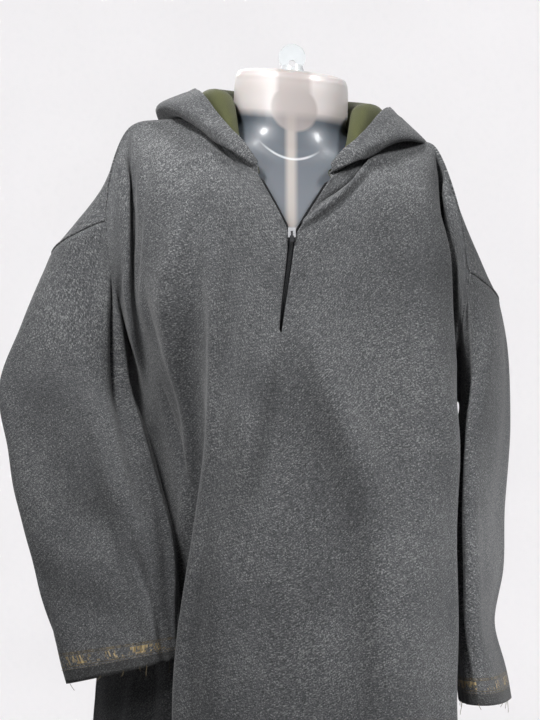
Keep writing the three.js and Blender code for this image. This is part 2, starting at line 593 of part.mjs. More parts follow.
function backSurface() {
  const surface = newSurface();
  const columns = [...NECK_COLUMNS, ...SIDE_COLUMNS];
  let middle = [];
  Object.entries(SIDES).forEach(([side, sign]) => {
    const index = addGrid(surface, columns, BODY_ROWS, (p, row, i, j) => {
      if (i === 0 && middle.length) return { index: middle[j] };
      const lift = foldHeight(FOLDS["back_" + side], p, row, false);
      return { point: panelPoint("back", side, p, row), lift };
    }, sign < 0);
    if (!middle.length) middle = index[0];
  });
  layFolds(surface);
  return surface;
}

// ---- Sleeves ----

const SLEEVE_STEPS = [0, 20, 50, 84, 120, 160, 200, 244, 288, 332, 375, 418, 445, 470, 490];

// A point of a sleeve: share round the armhole loop, distance down from it.
function sleevePoint(side, share, along) {
  const table = SLEEVE[side];
  const sign = SIDES[side];
  const wrapped = share - Math.floor(share);
  const knots = [0, ...column(table, "along")];
  const turn = through(RING_TURN.share, RING_TURN.turn, wrapped);
  const start = armholePoint(side, share);
  const rings = table.map((ring) => {
    const angle = radians(turn + ring.lead);
    const bearing = radians(ring.bearing);
    const reach = -ring.half * Math.cos(angle);
    const out = ring.thick * Math.sin(angle);
    const ahead = [Math.cos(bearing), -Math.sin(bearing)];
    const face = sign > 0 ? [ahead[1], -ahead[0]] : [-ahead[1], ahead[0]];
    return [
      ring.x + reach * ahead[0] + out * face[0],
      ring.y + reach * ahead[1] + out * face[1],
      ring.z - (ring.drop / 2) * (reach / ring.half) - (ring.dip / 2) * (out / ring.thick),
    ];
  });
  const at = (axis) => through(knots, [start[axis], ...rings.map((r) => r[axis])], along);
  return new THREE.Vector3(at(0), at(1), at(2));
}

function sleeveSurface(side) {
  const surface = newSurface();
  const shares = [
    ...ARMHOLE_ROWS.map((row) => armholeShare("front", row)),
    ...ARMHOLE_ROWS.slice(0, -1).reverse().map((row) => armholeShare("back", row)),
  ];
  const total = column(SLEEVE[side], "along").at(-1);
  const down = SLEEVE_STEPS.map((step) => (step * total) / SLEEVE_STEPS.at(-1));
  let first = [];
  const flip = side === "left";
  addGrid(surface, shares, down, (share, along, i, j) => {
    if (i === shares.length - 1) return { index: first[j] };
    const lift = foldHeight(FOLDS["sleeve_" + side], share, along, true);
    const made = { point: sleevePoint(side, share, along), lift };
    if (i === 0) first[j] = surface.points.length;
    return made;
  }, flip);
  layFolds(surface);
  return surface;
}

// ---- The hood ----

const HOOD_PROFILE = ["stand", "leg", "trough", "turn", "face", "edge"];
const HOOD_STEPS = steps(0, HOOD_PROFILE.length, 16);

// A point round the neck: how far from its axis, at what bearing, and how high before the lean.
function roundNeck(sign, bearing, r, z) {
  const x = sign * r * Math.sin(bearing);
  return new THREE.Vector3(x, -r * Math.cos(bearing), z - x * Math.tan(radians(TILT)));
}

// The neckline of one half, from the throat over the shoulder to the nape.
function neckline(side) {
  const sign = SIDES[side];
  const front = NECK_COLUMNS.map((p) => panelPoint("front", side, p, 0));
  front[0].x = centreX(0) + sign * openingHalf(0);
  const behind = NECK_COLUMNS.slice(0, -1).reverse().map((p) => panelPoint("back", side, p, 0));
  return [...front, ...behind];
}

function hoodSurface(side) {
  const surface = newSurface();
  const sign = SIDES[side];
  const bearings = column(HOOD, "bearing");
  addGrid(surface, neckline(side), HOOD_STEPS, (seam, v) => {
    const bearing = Math.atan2(Math.abs(seam.x), -seam.y);
    const at = Math.max(bearings[0], (bearing * 180) / Math.PI);
    const start = [Math.hypot(seam.x, seam.y), seam.z + seam.x * Math.tan(radians(TILT))];
    const sagging = (name) => name === "face" && side === "left";
    const profile = [start, ...HOOD_PROFILE.map((name) => [
      through(bearings, HOOD.map((row) => row[name][0]), at),
      through(bearings, HOOD.map((row) => row[name][1] - (sagging(name) ? row.sag : 0)), at),
    ])];
    const [r, z] = alongProfile(profile, v);
    return { point: roundNeck(sign, bearing, r, z), lift: 0 };
  }, sign > 0);
  return surface;
}

// ---- The zip ----

const TAPE = { top: 5, under: 7, thick: 0.9, depth: WOOL + 0.6, above: 3.4, clear: 0.3, atSlider: 2.1 };

// A tape runs down behind one edge of the opening and shows beyond it.
function tapeSurface(side) {
  const surface = newSurface();
  const sign = SIDES[side];
  const rows = [TAPE.top, ...ARMHOLE_ROWS.filter((row) => row > 0 && row <= ZIP_END)];
  addGrid(surface, [0, 1], rows, (edge, row) => {
    const rim = panelPoint("front", side, 0, row);
    rim.x = centreX(row) + sign * openingHalf(row);
    const beside = panelPoint("front", side, 14, row);
    const down = panelPoint("front", side, 14, row + 4).sub(beside);
    const across = rim.clone().sub(beside).normalize();
    const normal = new THREE.Vector3().crossVectors(down, across).normalize().multiplyScalar(-sign);
    const showing = row < SLIDER_ROW ? TAPE.above : Math.min(TAPE.above, openingHalf(row) - TAPE.clear);
    const reach = edge ? (row === SLIDER_ROW ? TAPE.atSlider : showing) : -TAPE.under;
    return { point: rim.addScaledVector(across, reach).addScaledVector(normal, -TAPE.depth), lift: 0 };
  }, sign > 0);
  surface.normals = vertexNormals(surface);
  return surface;
}

// A block with its middle at a place, given as [x, y, z].
const block = (size, place) => Manifold.cube(size, true).translate(place);
// A round pin along X.
const pin = (length, radius, place) =>
  Manifold.cylinder(length, radius, radius, 24, true).rotate([0, 90, 0]).translate(place);

const SLIDER = {
  width: 8.4, height: 11, ahead: 2.7, plate: 1.4, post: 1.6, back: 1.2, ear: 1.1, pin: 0.7, pinAhead: 3,
};
const PULL = { width: 4.6, neck: 2.2, length: 11, thick: 1.2, eye: 1.6, hole: 1.05 };
// The slider's place: the middle of the opening, on the outer face of the cloth.
const sliderAt = panelPoint("front", "right", 0, SLIDER_ROW);
const sliderPlace = [centreX(SLIDER_ROW), sliderAt.y, sliderAt.z];

function sliderSolid() {
  const front = -SLIDER.ahead - SLIDER.plate / 2;
  const behind = TAPE.depth + TAPE.thick + 0.5 + SLIDER.back / 2;
  const plate = block([SLIDER.width, SLIDER.plate, SLIDER.height], [0, front, 0]);
  const post = block([SLIDER.post, behind - front, 4], [0, (front + behind) / 2, 1]);
  const rear = block([SLIDER.width - 1, SLIDER.back, SLIDER.height - 2], [0, behind, 0]);
  const pinY = front - SLIDER.pinAhead;
  const reach = SLIDER.pinAhead + 0.9;
  const earX = PULL.neck / 2 + 0.4 + SLIDER.ear / 2;
  const ears = [-1, 1].map((s) => block([SLIDER.ear, reach, 2.6], [s * earX, front - reach / 2, 0]));
  const axle = pin(PULL.neck + 0.8 + 2 * SLIDER.ear, SLIDER.pin, [0, pinY, 0]);
  return Manifold.union([plate, post, rear, ...ears, axle]).translate(sliderPlace);
}

function pullSolid() {
  const pinY = -SLIDER.ahead - SLIDER.plate / 2 - SLIDER.pinAhead;
  const eye = pin(PULL.neck, PULL.eye, [0, pinY, 0]);
  const neck = block([PULL.neck, PULL.thick, 3.6], [0, pinY, -2.2]);
  const tab = block([PULL.width, PULL.thick, PULL.length - 4], [0, pinY, -3.6 - (PULL.length - 4) / 2]);
  const hole = pin(PULL.neck + 1, PULL.hole, [0, pinY, 0]);
  return Manifold.union([eye, neck, tab]).subtract(hole).translate(sliderPlace);
}

// ---- The torso ----

const TORSO_AROUND = 28;

// A point of the torso's outside at a height along its axis and a turn round it.
function torsoPoint(ring, turn) {
  const [c, s] = [Math.cos(turn), Math.sin(turn)];
  const bend = (v) => Math.sign(v) * Math.abs(v) ** (2 / ring.power);
  const x = ring.half * bend(c) + TORSO_DRIFT * (ring.z - TORSO[0].z);
  const y = (s < 0 ? ring.front : ring.back) * bend(s);
  return new THREE.Vector3(x, y, ring.z - x * Math.tan(radians(TILT)));
}

function torsoSurface() {
  const surface = newSurface();
  const turns = steps(0, 2 * Math.PI, TORSO_AROUND);
  let first = [];
  const index = addGrid(surface, turns, TORSO, (turn, ring, i, j) => {
    if (i === TORSO_AROUND) return { index: first[j] };
    if (i === 0) first[j] = surface.points.length;
    return { point: torsoPoint(ring, turn), lift: 0 };
  }, false);
  const crown = surface.points.length;
  surface.points.push(new THREE.Vector3(0, 0, TORSO[0].z + 1.2));
  surface.lift.push(0);
  for (let i = 0; i < TORSO_AROUND; i += 2) {
    surface.quads.push([crown, index[i][0], index[i + 1][0], index[i + 2][0]]);
  }
  surface.normals = vertexNormals(surface);
  return surface;
}

// The fitting on the neck: a round lug on a foot, with the hanging eye through it.
const LUG = { radius: 15.5, thick: 13, z: -13, hole: 4.2, holeZ: -20, foot: 7, footZ: -28.6, footRadius: 14 };
function fittingSolid() {
  const across = (length, radius, z) =>
    Manifold.cylinder(length, radius, radius, 40, true).rotate([90, 0, 0]).translate([0, 0, z]);
  const foot = Manifold.cylinder(LUG.foot, LUG.footRadius, LUG.footRadius - 2, 40).translate([0, 0, LUG.footZ]);
  const belowFoot = block([60, 60, 20], [0, 0, LUG.footZ - 10]);
  return across(LUG.thick, LUG.radius, LUG.z).subtract(belowFoot).add(foot)
    .subtract(across(LUG.thick + 20, LUG.hole, LUG.holeZ));
}

// ---- Build ----
const front = frontSurface();
const back = backSurface();
const sleeves = { right: sleeveSurface("right"), left: sleeveSurface("left") };
const hoods = { right: hoodSurface("right"), left: hoodSurface("left") };
const cloth = [front, back, sleeves.right, sleeves.left, hoods.right, hoods.left];
cloth.slice(0, 2).forEach((surface) => drawBackBorder(surface));
cloth.slice(2, 4).forEach((surface) => drawBackBorder(surface, GAP));
cloth.slice(4).forEach((surface) => drawBackBorder(surface, 1.5 * GAP));
matchNormals(cloth.slice(0, 4), FOLDED);
matchNormals(cloth.slice(4), -1);

const pheran = new THREE.Group();
function add(name, geometry, material) {
  const mesh = new THREE.Mesh(geometry, new THREE.MeshStandardMaterial(material));
  mesh.name = name;
  pheran.add(mesh);
}
const WOOL_LOOK = { color: 0x67686b, roughness: 0.95, metalness: 0 };
const LINING_LOOK = { color: 0x565a2e, roughness: 0.9, metalness: 0 };
const TAPE_LOOK = { color: 0x1e2023, roughness: 0.8, metalness: 0 };
const METAL_LOOK = { color: 0xc8cacc, roughness: 0.25, metalness: 1 };
const FITTING_LOOK = { color: 0xd9dcde, roughness: 0.2, metalness: 0.1 };
const TORSO_LOOK = { color: 0xe6e4e6, roughness: 0.35, metalness: 0, transparent: true, opacity: 0.55 };

const frontRoom = roomOf(front);
const bodyRooms = [frontRoom, roomOf(back)];
add("front", wall(front, 0, -WOOL), WOOL_LOOK);
add("back", trim(wall(back, 0, -WOOL), frontRoom), WOOL_LOOK);
Object.keys(SIDES).forEach((side) => {
  add("sleeve_" + side, trim(wall(sleeves[side], 0, -WOOL), bodyRooms), WOOL_LOOK);
  add("hood_" + side, trim(wall(hoods[side], 0, -WOOL), bodyRooms), WOOL_LOOK);
  const inside = -WOOL - GAP;
  add("hood_lining_" + side, trim(wall(hoods[side], inside, inside - LINING), bodyRooms), LINING_LOOK);
  add("zip_tape_" + side, wall(tapeSurface(side), 0, -TAPE.thick), TAPE_LOOK);
});
add("zip_slider", toGeometry(sliderSolid()), METAL_LOOK);
add("zip_pull", toGeometry(pullSolid()), TAPE_LOOK);
add("torso_form", wall(torsoSurface(), 0, -SHELL), TORSO_LOOK);
add("torso_fitting", toGeometry(fittingSolid()), FITTING_LOOK);

// All heights above are measured from the top of the fitting; the frame's origin is the top of the eye.
pheran.position.z = -(LUG.holeZ + LUG.hole);

export default pheran;
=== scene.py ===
# %% [markdown]
# # A hooded woollen pheran on a hanging display torso
# A pheran is a loose gown that is slipped over the head. This one is cut from a thick grey tweed: a front
# and a back panel, two wide sleeves, and a hood lined in olive green that lies thrown back on the
# shoulders. A short zip closes the neck. A limbless plastic torso, hung by an eye on its neck, wears it.
#
# Cloth can be sculpted, simulated or worked out from its cut. A simulation drapes cloth anew each time
# and never lands twice on the same folds, so here each panel is a formula on the flat cloth: how far
# across it and how far down it a point lies says where it hangs. The weave can then follow the cloth.

# %% Load the frame
import math

import bpy
import numpy as np
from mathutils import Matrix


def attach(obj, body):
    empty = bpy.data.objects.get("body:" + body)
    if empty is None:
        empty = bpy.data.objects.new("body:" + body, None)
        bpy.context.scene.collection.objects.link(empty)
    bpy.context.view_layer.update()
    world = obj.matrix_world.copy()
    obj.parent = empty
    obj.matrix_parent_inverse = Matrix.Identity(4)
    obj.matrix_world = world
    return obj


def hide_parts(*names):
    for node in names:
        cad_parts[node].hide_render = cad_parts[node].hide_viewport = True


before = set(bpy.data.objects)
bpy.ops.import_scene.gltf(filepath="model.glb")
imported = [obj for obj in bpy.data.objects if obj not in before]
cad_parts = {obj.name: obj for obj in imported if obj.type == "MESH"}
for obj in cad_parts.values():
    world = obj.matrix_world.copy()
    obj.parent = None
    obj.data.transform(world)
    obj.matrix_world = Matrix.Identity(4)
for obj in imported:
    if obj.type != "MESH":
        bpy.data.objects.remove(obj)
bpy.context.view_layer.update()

# %% [markdown]
# ## Sizes
# All tables are in millimetres, with heights measured from the top of the fitting on the torso's neck.
# A maker works in the same way: a cut length, a cut width, an armhole depth. One shift and one scale at
# the end take every point into Blender's metres.

# %% Driving sizes
MM = 0.001
TOP_Z = 15.8  # the fitting's top stands this far above the frame's origin, the top of the eye's hole
WOOL = 2.0  # thickness of the milled tweed
LINING = 1.2  # thickness of the hood's lining
SEAM_GAP = 0.4
LENGTH = 1070  # cut length from shoulder to hem
HALF_CUT = 310  # half of the cut width of a body panel
HEM_Z = -1152
ARMHOLE_DEPTH = 260
ZIP_END = 190  # row at which the zip ends
SLIDER_ROW = 72  # row at which the slider stands
SHELL = 2.5  # wall of the torso
TILT = 5.5  # degrees by which the torso leans to the wearer's left
TORSO_BOTTOM = -668
SIDES = {"right": -1, "left": 1}  # the wearer's sides, and the sign of X there
STATIONS = [0, 42, 90, 125, 160, 205, 255, HALF_CUT]
LEAN = math.tan(math.radians(TILT))

# %% [markdown]
# ## The hanging shape
# A panel is a net: eight stations run down the cloth and a dozen rows run across it. Each row of the
# tables is a plan view of the hanging cloth at that height, so the tuck beside the sleeve, the roll at
# the shoulder seam and the wide flare of the hem can be read straight from it.

# %% Where the panels hang
# The upper edge of the body: neckline, then shoulder seam, out to the armhole.
TOP_FRONT = {
  "right": dict(x=[-39, -76, -95, -122, -150, -184, -204, -214], y=[-97, -64, -6, -4, -4, -8, -38, -62],
       z=[-152, -120, -86, -85, -86, -93, -138, -205]),
  "left": dict(x=[44, 80, 96, 120, 146, 166, 187, 201], y=[-97, -64, -6, -4, -5, -12, -38, -62],
       z=[-156, -130, -103, -106, -110, -121, -182, -263]),
}
TOP_BACK = dict(x=[0, 46], y=[64, 50], z=[-86, -86])

# Stations: middle, inner chest, outer chest, tuck, ridge, armpit crease, roll, seam.
FRONT = {
  "right": [
    dict(row=30, x=[-23, -62, -91, -123, -158, -180, -198], y=[-108, -88, -58, -48, -42, -26, -50]),
    dict(row=60, x=[-8, -50, -90, -124, -164, -178, -196], y=[-116, -106, -88, -74, -62, -38, -54]),
    dict(row=130, x=[-8, -48, -88, -124, -168, -177, -190], y=[-124, -119, -110, -98, -80, -48, -56]),
    dict(row=200, x=[-14, -52, -86, -118, -166, -178, -182], y=[-127, -126, -119, -104, -80, -50, -58]),
    dict(row=260, x=[-20, -58, -88, -108, -146, -160, -170], y=[-129, -130, -118, -100, -76, -48, -22]),
    dict(row=350, x=[-24, -64, -93, -98, -124, -150, -172, -190],
         y=[-131, -133, -117, -84, -60, -26, -2, 16]),
    dict(row=460, x=[-26, -74, -110, -92, -126, -156, -184, -206],
         y=[-133, -136, -110, -66, -44, -18, 0, 20]),
    dict(row=580, x=[-26, -82, -130, -102, -138, -170, -200, -220],
         y=[-135, -139, -106, -58, -38, -14, 4, 22]),
    dict(row=700, x=[-26, -86, -136, -106, -144, -180, -212, -230],
         y=[-137, -141, -104, -54, -34, -12, 4, 22]),
    dict(row=860, x=[-26, -90, -144, -116, -154, -192, -224, -242],
         y=[-140, -144, -106, -52, -30, -12, 4, 22]),
    dict(row=LENGTH, x=[-26, -94, -153, -128, -166, -206, -240, -258],
         y=[-144, -148, -110, -54, -30, -14, 2, 20]),
  ],
  "left": [
    dict(row=30, x=[26, 66, 95, 124, 151, 170, 190], y=[-108, -88, -58, -48, -40, -18, -48]),
    dict(row=60, x=[6, 50, 94, 128, 156, 172, 192], y=[-116, -104, -88, -72, -54, -22, -52]),
    dict(row=130, x=[-2, 44, 92, 134, 166, 176, 190], y=[-124, -118, -108, -90, -66, -22, -50]),
    dict(row=200, x=[-12, 40, 92, 139, 172, 170, 179], y=[-127, -127, -118, -98, -70, -26, -34]),
    dict(row=260, x=[-18, 38, 93, 143, 178, 170, 168], y=[-129, -132, -124, -102, -72, -30, -2]),
    dict(row=350, x=[-22, 38, 96, 148, 186, 176, 164, 154], y=[-131, -135, -128, -104, -72, -34, 0, 32]),
    dict(row=460, x=[-24, 40, 100, 152, 186, 175, 165, 156], y=[-133, -138, -130, -106, -74, -34, 6, 44]),
    dict(row=580, x=[-24, 42, 104, 155, 187, 175, 166, 158], y=[-135, -141, -132, -107, -76, -36, 10, 54]),
    dict(row=700, x=[-24, 44, 107, 157, 186, 175, 168, 162], y=[-137, -143, -134, -108, -77, -38, 14, 60]),
    dict(row=860, x=[-24, 46, 111, 163, 196, 190, 182, 171], y=[-140, -146, -137, -110, -74, -26, 22, 64]),
    dict(row=LENGTH, x=[-24, 48, 116, 171, 206, 203, 196, 183], y=[-144, -150, -141, -114, -76, -26, 24, 66]),
  ],
}

# %% [markdown]
# The back has the same eight stations. It hangs flatter than the front, from a yoke at the shoulder blades,
# and its folds run straight down.

# %% Where the back hangs
BACK = {
  "right": [
    dict(row=30, x=[0, -45, -93, -123, -153, -188, -215], y=[80, 74, 50, 40, 30, 16, -18]),
    dict(row=60, x=[0, -44, -92, -124, -156, -192, -224], y=[92, 90, 76, 66, 52, 32, 4]),
    dict(row=130, x=[0, -44, -92, -126, -160, -198, -236], y=[106, 104, 98, 92, 80, 62, 34]),
    dict(row=200, x=[0, -44, -92, -126, -160, -192, -218], y=[112, 110, 104, 98, 88, 74, 56]),
    dict(row=260, x=[0, -44, -92, -125, -154, -178, -190], y=[114, 112, 106, 98, 84, 64, 40]),
    dict(row=350, x=[-2, -46, -94, -126, -154, -178, -190, -190], y=[116, 114, 107, 97, 81, 58, 36, 16]),
    dict(row=460, x=[-6, -52, -102, -135, -164, -188, -203, -206], y=[118, 116, 109, 98, 82, 60, 38, 20]),
    dict(row=580, x=[-10, -58, -110, -144, -174, -200, -216, -220], y=[119, 118, 111, 100, 84, 62, 40, 22]),
    dict(row=700, x=[-12, -61, -115, -150, -181, -208, -226, -230], y=[120, 119, 112, 101, 85, 63, 42, 22]),
    dict(row=860, x=[-15, -66, -121, -157, -190, -218, -237, -242], y=[122, 121, 115, 103, 87, 64, 42, 22]),
    dict(row=LENGTH, x=[-18, -72, -130, -168, -202, -232, -252, -258],
         y=[126, 125, 119, 107, 90, 66, 43, 20]),
  ],
  "left": [
    dict(row=30, x=[0, 45, 93, 122, 149, 173, 197], y=[80, 74, 50, 40, 32, 22, -10]),
    dict(row=60, x=[0, 44, 92, 124, 152, 178, 206], y=[92, 90, 76, 66, 54, 38, 14]),
    dict(row=130, x=[0, 44, 92, 124, 156, 188, 216], y=[106, 104, 98, 92, 84, 72, 50]),
    dict(row=200, x=[0, 44, 92, 124, 154, 180, 200], y=[112, 110, 104, 99, 94, 86, 74]),
    dict(row=260, x=[0, 44, 91, 122, 147, 166, 176], y=[114, 112, 106, 101, 92, 78, 56]),
    dict(row=350, x=[-2, 42, 86, 114, 137, 153, 158, 154], y=[116, 114, 108, 100, 88, 72, 52, 32]),
    dict(row=460, x=[-6, 38, 82, 112, 136, 154, 160, 156], y=[118, 117, 111, 103, 92, 78, 61, 44]),
    dict(row=580, x=[-10, 34, 80, 111, 136, 155, 162, 158], y=[119, 118, 113, 106, 96, 84, 70, 54]),
    dict(row=700, x=[-12, 34, 80, 112, 138, 158, 166, 162], y=[120, 119, 115, 108, 99, 88, 75, 60]),
    dict(row=860, x=[-15, 33, 82, 116, 143, 165, 175, 171], y=[122, 121, 117, 111, 102, 92, 79, 64]),
    dict(row=LENGTH, x=[-18, 34, 86, 122, 152, 176, 187, 183], y=[126, 125, 121, 114, 105, 95, 82, 66]),
  ],
}

# %% [markdown]
# The armhole is a closed loop, so its table runs once round it and joins up. A sleeve's table has a row for
# each ring on the way down: where its centre is, how wide and how thick it is, and which way it faces.

# %% Where the armholes and sleeves hang
# share runs round the armhole seam: 0 to 0.5 down the front, 0.5 to 1 up the back.
ARMHOLE = {
  "right": [
    dict(share=0, x=-213, y=-62, z=-205),
    dict(share=0.03, x=-212, y=-64, z=-217),
    dict(share=0.12, x=-207, y=-66, z=-248),
    dict(share=0.26, x=-198, y=-54, z=-292),
    dict(share=0.38, x=-190, y=-26, z=-326),
    dict(share=0.5, x=-186, y=8, z=-350),
    dict(share=0.6, x=-205, y=36, z=-330),
    dict(share=0.71, x=-237, y=47, z=-294),
    dict(share=0.81, x=-266, y=30, z=-258),
    dict(share=0.9, x=-275, y=-10, z=-236),
    dict(share=0.96, x=-249, y=-44, z=-219),
  ],
  "left": [
    dict(share=0, x=201, y=-62, z=-263),
    dict(share=0.03, x=200, y=-62, z=-273),
    dict(share=0.12, x=196, y=-60, z=-300),
    dict(share=0.26, x=191, y=-36, z=-344),
    dict(share=0.38, x=182, y=-8, z=-378),
    dict(share=0.5, x=178, y=22, z=-398),
    dict(share=0.6, x=196, y=56, z=-376),
    dict(share=0.71, x=222, y=72, z=-338),
    dict(share=0.81, x=238, y=46, z=-304),
    dict(share=0.9, x=236, y=4, z=-287),
    dict(share=0.96, x=220, y=-34, z=-274),
  ],
}

# Flattened rings. The half width runs along a bearing in plan (degrees, 0 is +X and 90 is -Y). drop is how
# much lower its far end lies, dip how much lower the side next to the body, lead turns the cloth round.
SLEEVE = {
  "right": [
    dict(along=84, x=-249, y=-24, z=-352, half=63, thick=36, bearing=180, drop=-66, dip=0, lead=0),
    dict(along=168, x=-252, y=-40, z=-418, half=86, thick=30, bearing=182, drop=-50, dip=0, lead=0),
    dict(along=248, x=-238, y=-52, z=-486, half=89, thick=26, bearing=183, drop=-32, dip=0, lead=0),
    dict(along=332, x=-220, y=-60, z=-558, half=87, thick=22, bearing=184, drop=-10, dip=0, lead=0),
    dict(along=418, x=-207, y=-66, z=-632, half=79, thick=20, bearing=184, drop=8, dip=0, lead=0),
    dict(along=468, x=-198, y=-70, z=-678, half=71, thick=20, bearing=184, drop=20, dip=0, lead=0),
    dict(along=505, x=-191, y=-72, z=-713, half=65, thick=21, bearing=184, drop=30, dip=0, lead=0),
  ],
  "left": [
    dict(along=84, x=223, y=8, z=-384, half=64, thick=28, bearing=100, drop=-30, dip=70, lead=100),
    dict(along=160, x=220, y=8, z=-448, half=73, thick=32, bearing=103, drop=-12, dip=34, lead=100),
    dict(along=244, x=215, y=9, z=-526, half=75, thick=30, bearing=103, drop=-6, dip=12, lead=100),
    dict(along=328, x=212, y=9, z=-608, half=74, thick=26, bearing=101, drop=0, dip=0, lead=100),
    dict(along=392, x=209, y=8, z=-672, half=73, thick=21, bearing=98, drop=0, dip=0, lead=100),
    dict(along=432, x=215, y=6, z=-712, half=73, thick=26, bearing=97, drop=0, dip=0, lead=100),
    dict(along=474, x=222, y=4, z=-753, half=74, thick=29, bearing=96, drop=0, dip=0, lead=100),
  ],
}
RING_SHARE = [0, 0.12, 0.26, 0.38, 0.5, 0.6, 0.71, 0.81, 0.9, 0.96, 1]
RING_TURN = [78, 48, 22, 2, -22, -58, -105, -148, -180, -240, -282]

# %% [markdown]
# The hood is given by the profile of its cloth at nine bearings round the neck, which is how a turned-down
# collar is drafted. The torso is given by level sections, as a ship's hull is.

# %% Where the hood and the torso are
# Sections round the neck at a bearing from the throat (0) to the nape (180): [distance out, height]. On the
# wearer's left the face hangs lower by the sag.
HOOD = [
  dict(bearing=22, sag=0, stand=[104.5, -152.5], leg=[104.5, -150.5], trough=[104.5, -148.5],
       turn=[104.5, -146.5], face=[104, -144.5], edge=[103.5, -142]),
  dict(bearing=31, sag=0, stand=[102, -138], leg=[105, -137.5], trough=[109, -140],
       turn=[113, -138], face=[112.5, -129.5], edge=[107.5, -120.5]),
  dict(bearing=40, sag=0, stand=[97, -119], leg=[101, -118], trough=[109.5, -127],
       turn=[118, -129], face=[121, -118.5], edge=[110, -106]),
  dict(bearing=50, sag=2, stand=[89, -92], leg=[95, -91], trough=[104.5, -111],
       turn=[114, -123.5], face=[126, -108], edge=[111, -89.5]),
  dict(bearing=62, sag=6, stand=[82, -73], leg=[91, -71], trough=[104, -96],
       turn=[117, -111], face=[131, -95], edge=[110, -73]),
  dict(bearing=88, sag=12, stand=[81, -64], leg=[93, -62], trough=[112, -77],
       turn=[136, -95], face=[152, -86], edge=[112, -60]),
  dict(bearing=118, sag=8, stand=[78, -58], leg=[93, -60], trough=[126, -104],
       turn=[152, -126], face=[169, -106], edge=[130, -70]),
  dict(bearing=150, sag=0, stand=[73, -58], leg=[93, -80], trough=[132, -226],
       turn=[152, -250], face=[180, -176], edge=[152, -80]),
  dict(bearing=180, sag=0, stand=[71, -58], leg=[93, -88], trough=[124, -290],
       turn=[141, -318], face=[172, -216], edge=[150, -86]),
]
HOOD_PROFILE = ["stand", "leg", "trough", "turn", "face", "edge"]

# The torso: half width, and depth to the front and to the back, at heights along its own axis.
TORSO = [
  dict(z=-31, half=52, front=44, back=39, power=2.1),
  dict(z=-33.2, half=59, front=51, back=45, power=2.1),
  dict(z=-38.5, half=63.6, front=55, back=48, power=2.1),
  dict(z=-46, half=65, front=56.5, back=49, power=2.1),
  dict(z=-72, half=66, front=58, back=50, power=2.1),
  dict(z=-100, half=69, front=60, back=52, power=2.1),
  dict(z=-113.2, half=89.5, front=63, back=59, power=2.1),
  dict(z=-126.2, half=123.5, front=66, back=62, power=2.2),
  dict(z=-145, half=150, front=76, back=70, power=2.3),
  dict(z=-174, half=160, front=91, back=80, power=2.4),
  dict(z=-220, half=162, front=106, back=88, power=2.4),
  dict(z=-300, half=150, front=107, back=90, power=2.4),
  dict(z=-400, half=120, front=78, back=82, power=2.3),
  dict(z=-560, half=106, front=58, back=82, power=2.3),
  dict(z=TORSO_BOTTOM, half=106, front=56, back=84, power=2.3),
]
TORSO_DRIFT = 0.04

# %% [markdown]
# These folds are large enough to belong to the solid too. Each row is one fold: where it starts and ends on
# the flat cloth, how wide and deep it is, and over what length it fades.

# %% The large folds
# p is across and row is down the flat cloth. depth is outwards when positive, ends is the fade length.
FOLDS = {
  "front_right": [
    dict(p0=128, row0=90, p1=150, row1=330, width=13, depth=-9, ends=90),
    dict(p0=150, row0=40, p1=172, row1=300, width=11, depth=6, ends=80),
    dict(p0=60, row0=215, p1=20, row1=420, width=20, depth=-7, ends=110),
    dict(p0=66, row0=200, p1=62, row1=1070, width=22, depth=5, ends=160),
    dict(p0=34, row0=700, p1=40, row1=1200, width=24, depth=-9, ends=220),
  ],
  "front_left": [
    dict(p0=28, row0=170, p1=98, row1=560, width=26, depth=-12, ends=160),
    dict(p0=98, row0=420, p1=104, row1=1200, width=22, depth=-9, ends=180),
    dict(p0=52, row0=420, p1=40, row1=1200, width=26, depth=8, ends=200),
    dict(p0=150, row0=330, p1=150, row1=1200, width=20, depth=7, ends=160),
    dict(p0=128, row0=180, p1=148, row1=460, width=18, depth=-5, ends=120),
  ],
  "back_right": [
    dict(p0=30, row0=240, p1=44, row1=1200, width=26, depth=-15, ends=260),
    dict(p0=78, row0=160, p1=96, row1=1200, width=24, depth=12, ends=240),
    dict(p0=128, row0=200, p1=142, row1=1200, width=20, depth=-13, ends=220),
    dict(p0=176, row0=120, p1=192, row1=1200, width=22, depth=9, ends=200),
    dict(p0=236, row0=330, p1=240, row1=1200, width=18, depth=-7, ends=160),
  ],
  "back_left": [
    dict(p0=14, row0=260, p1=6, row1=1200, width=22, depth=12, ends=220),
    dict(p0=56, row0=180, p1=58, row1=1200, width=26, depth=-14, ends=260),
    dict(p0=110, row0=220, p1=112, row1=1200, width=24, depth=13, ends=240),
    dict(p0=160, row0=160, p1=168, row1=1200, width=20, depth=-12, ends=200),
    dict(p0=218, row0=300, p1=222, row1=1200, width=22, depth=8, ends=180),
  ],
  # On a sleeve, p is the share of the loop and row the distance down from the armhole.
  "sleeve_right": [
    dict(p0=0.93, row0=20, p1=0.99, row1=420, width=0.03, depth=-8, ends=120),
    dict(p0=0.07, row0=20, p1=0.1, row1=520, width=0.035, depth=5, ends=100),
    dict(p0=0.9, row0=330, p1=1.03, row1=520, width=0.045, depth=-5, ends=90),
    dict(p0=0.7, row0=60, p1=0.66, row1=520, width=0.04, depth=-8, ends=140),
  ],
  "sleeve_left": [
    dict(p0=0.95, row0=40, p1=0.95, row1=380, width=0.035, depth=-5, ends=120),
    dict(p0=0.0, row0=10, p1=0.0, row1=420, width=0.022, depth=5, ends=100),
    dict(p0=0.72, row0=60, p1=0.68, row1=480, width=0.05, depth=-9, ends=140),
    dict(p0=0.3, row0=60, p1=0.34, row1=480, width=0.05, depth=-7, ends=140),
  ],
}

# %% [markdown]
# ## Curves through the tables
# The tables hold only a few dozen places. A cubic curve joins them: it passes through every value and its
# slope there is taken from the neighbours, as a draughtsman's spline would bend. A Bezier spline in
# Blender would do the same for one line, but a whole array of lines at once needs the formula.

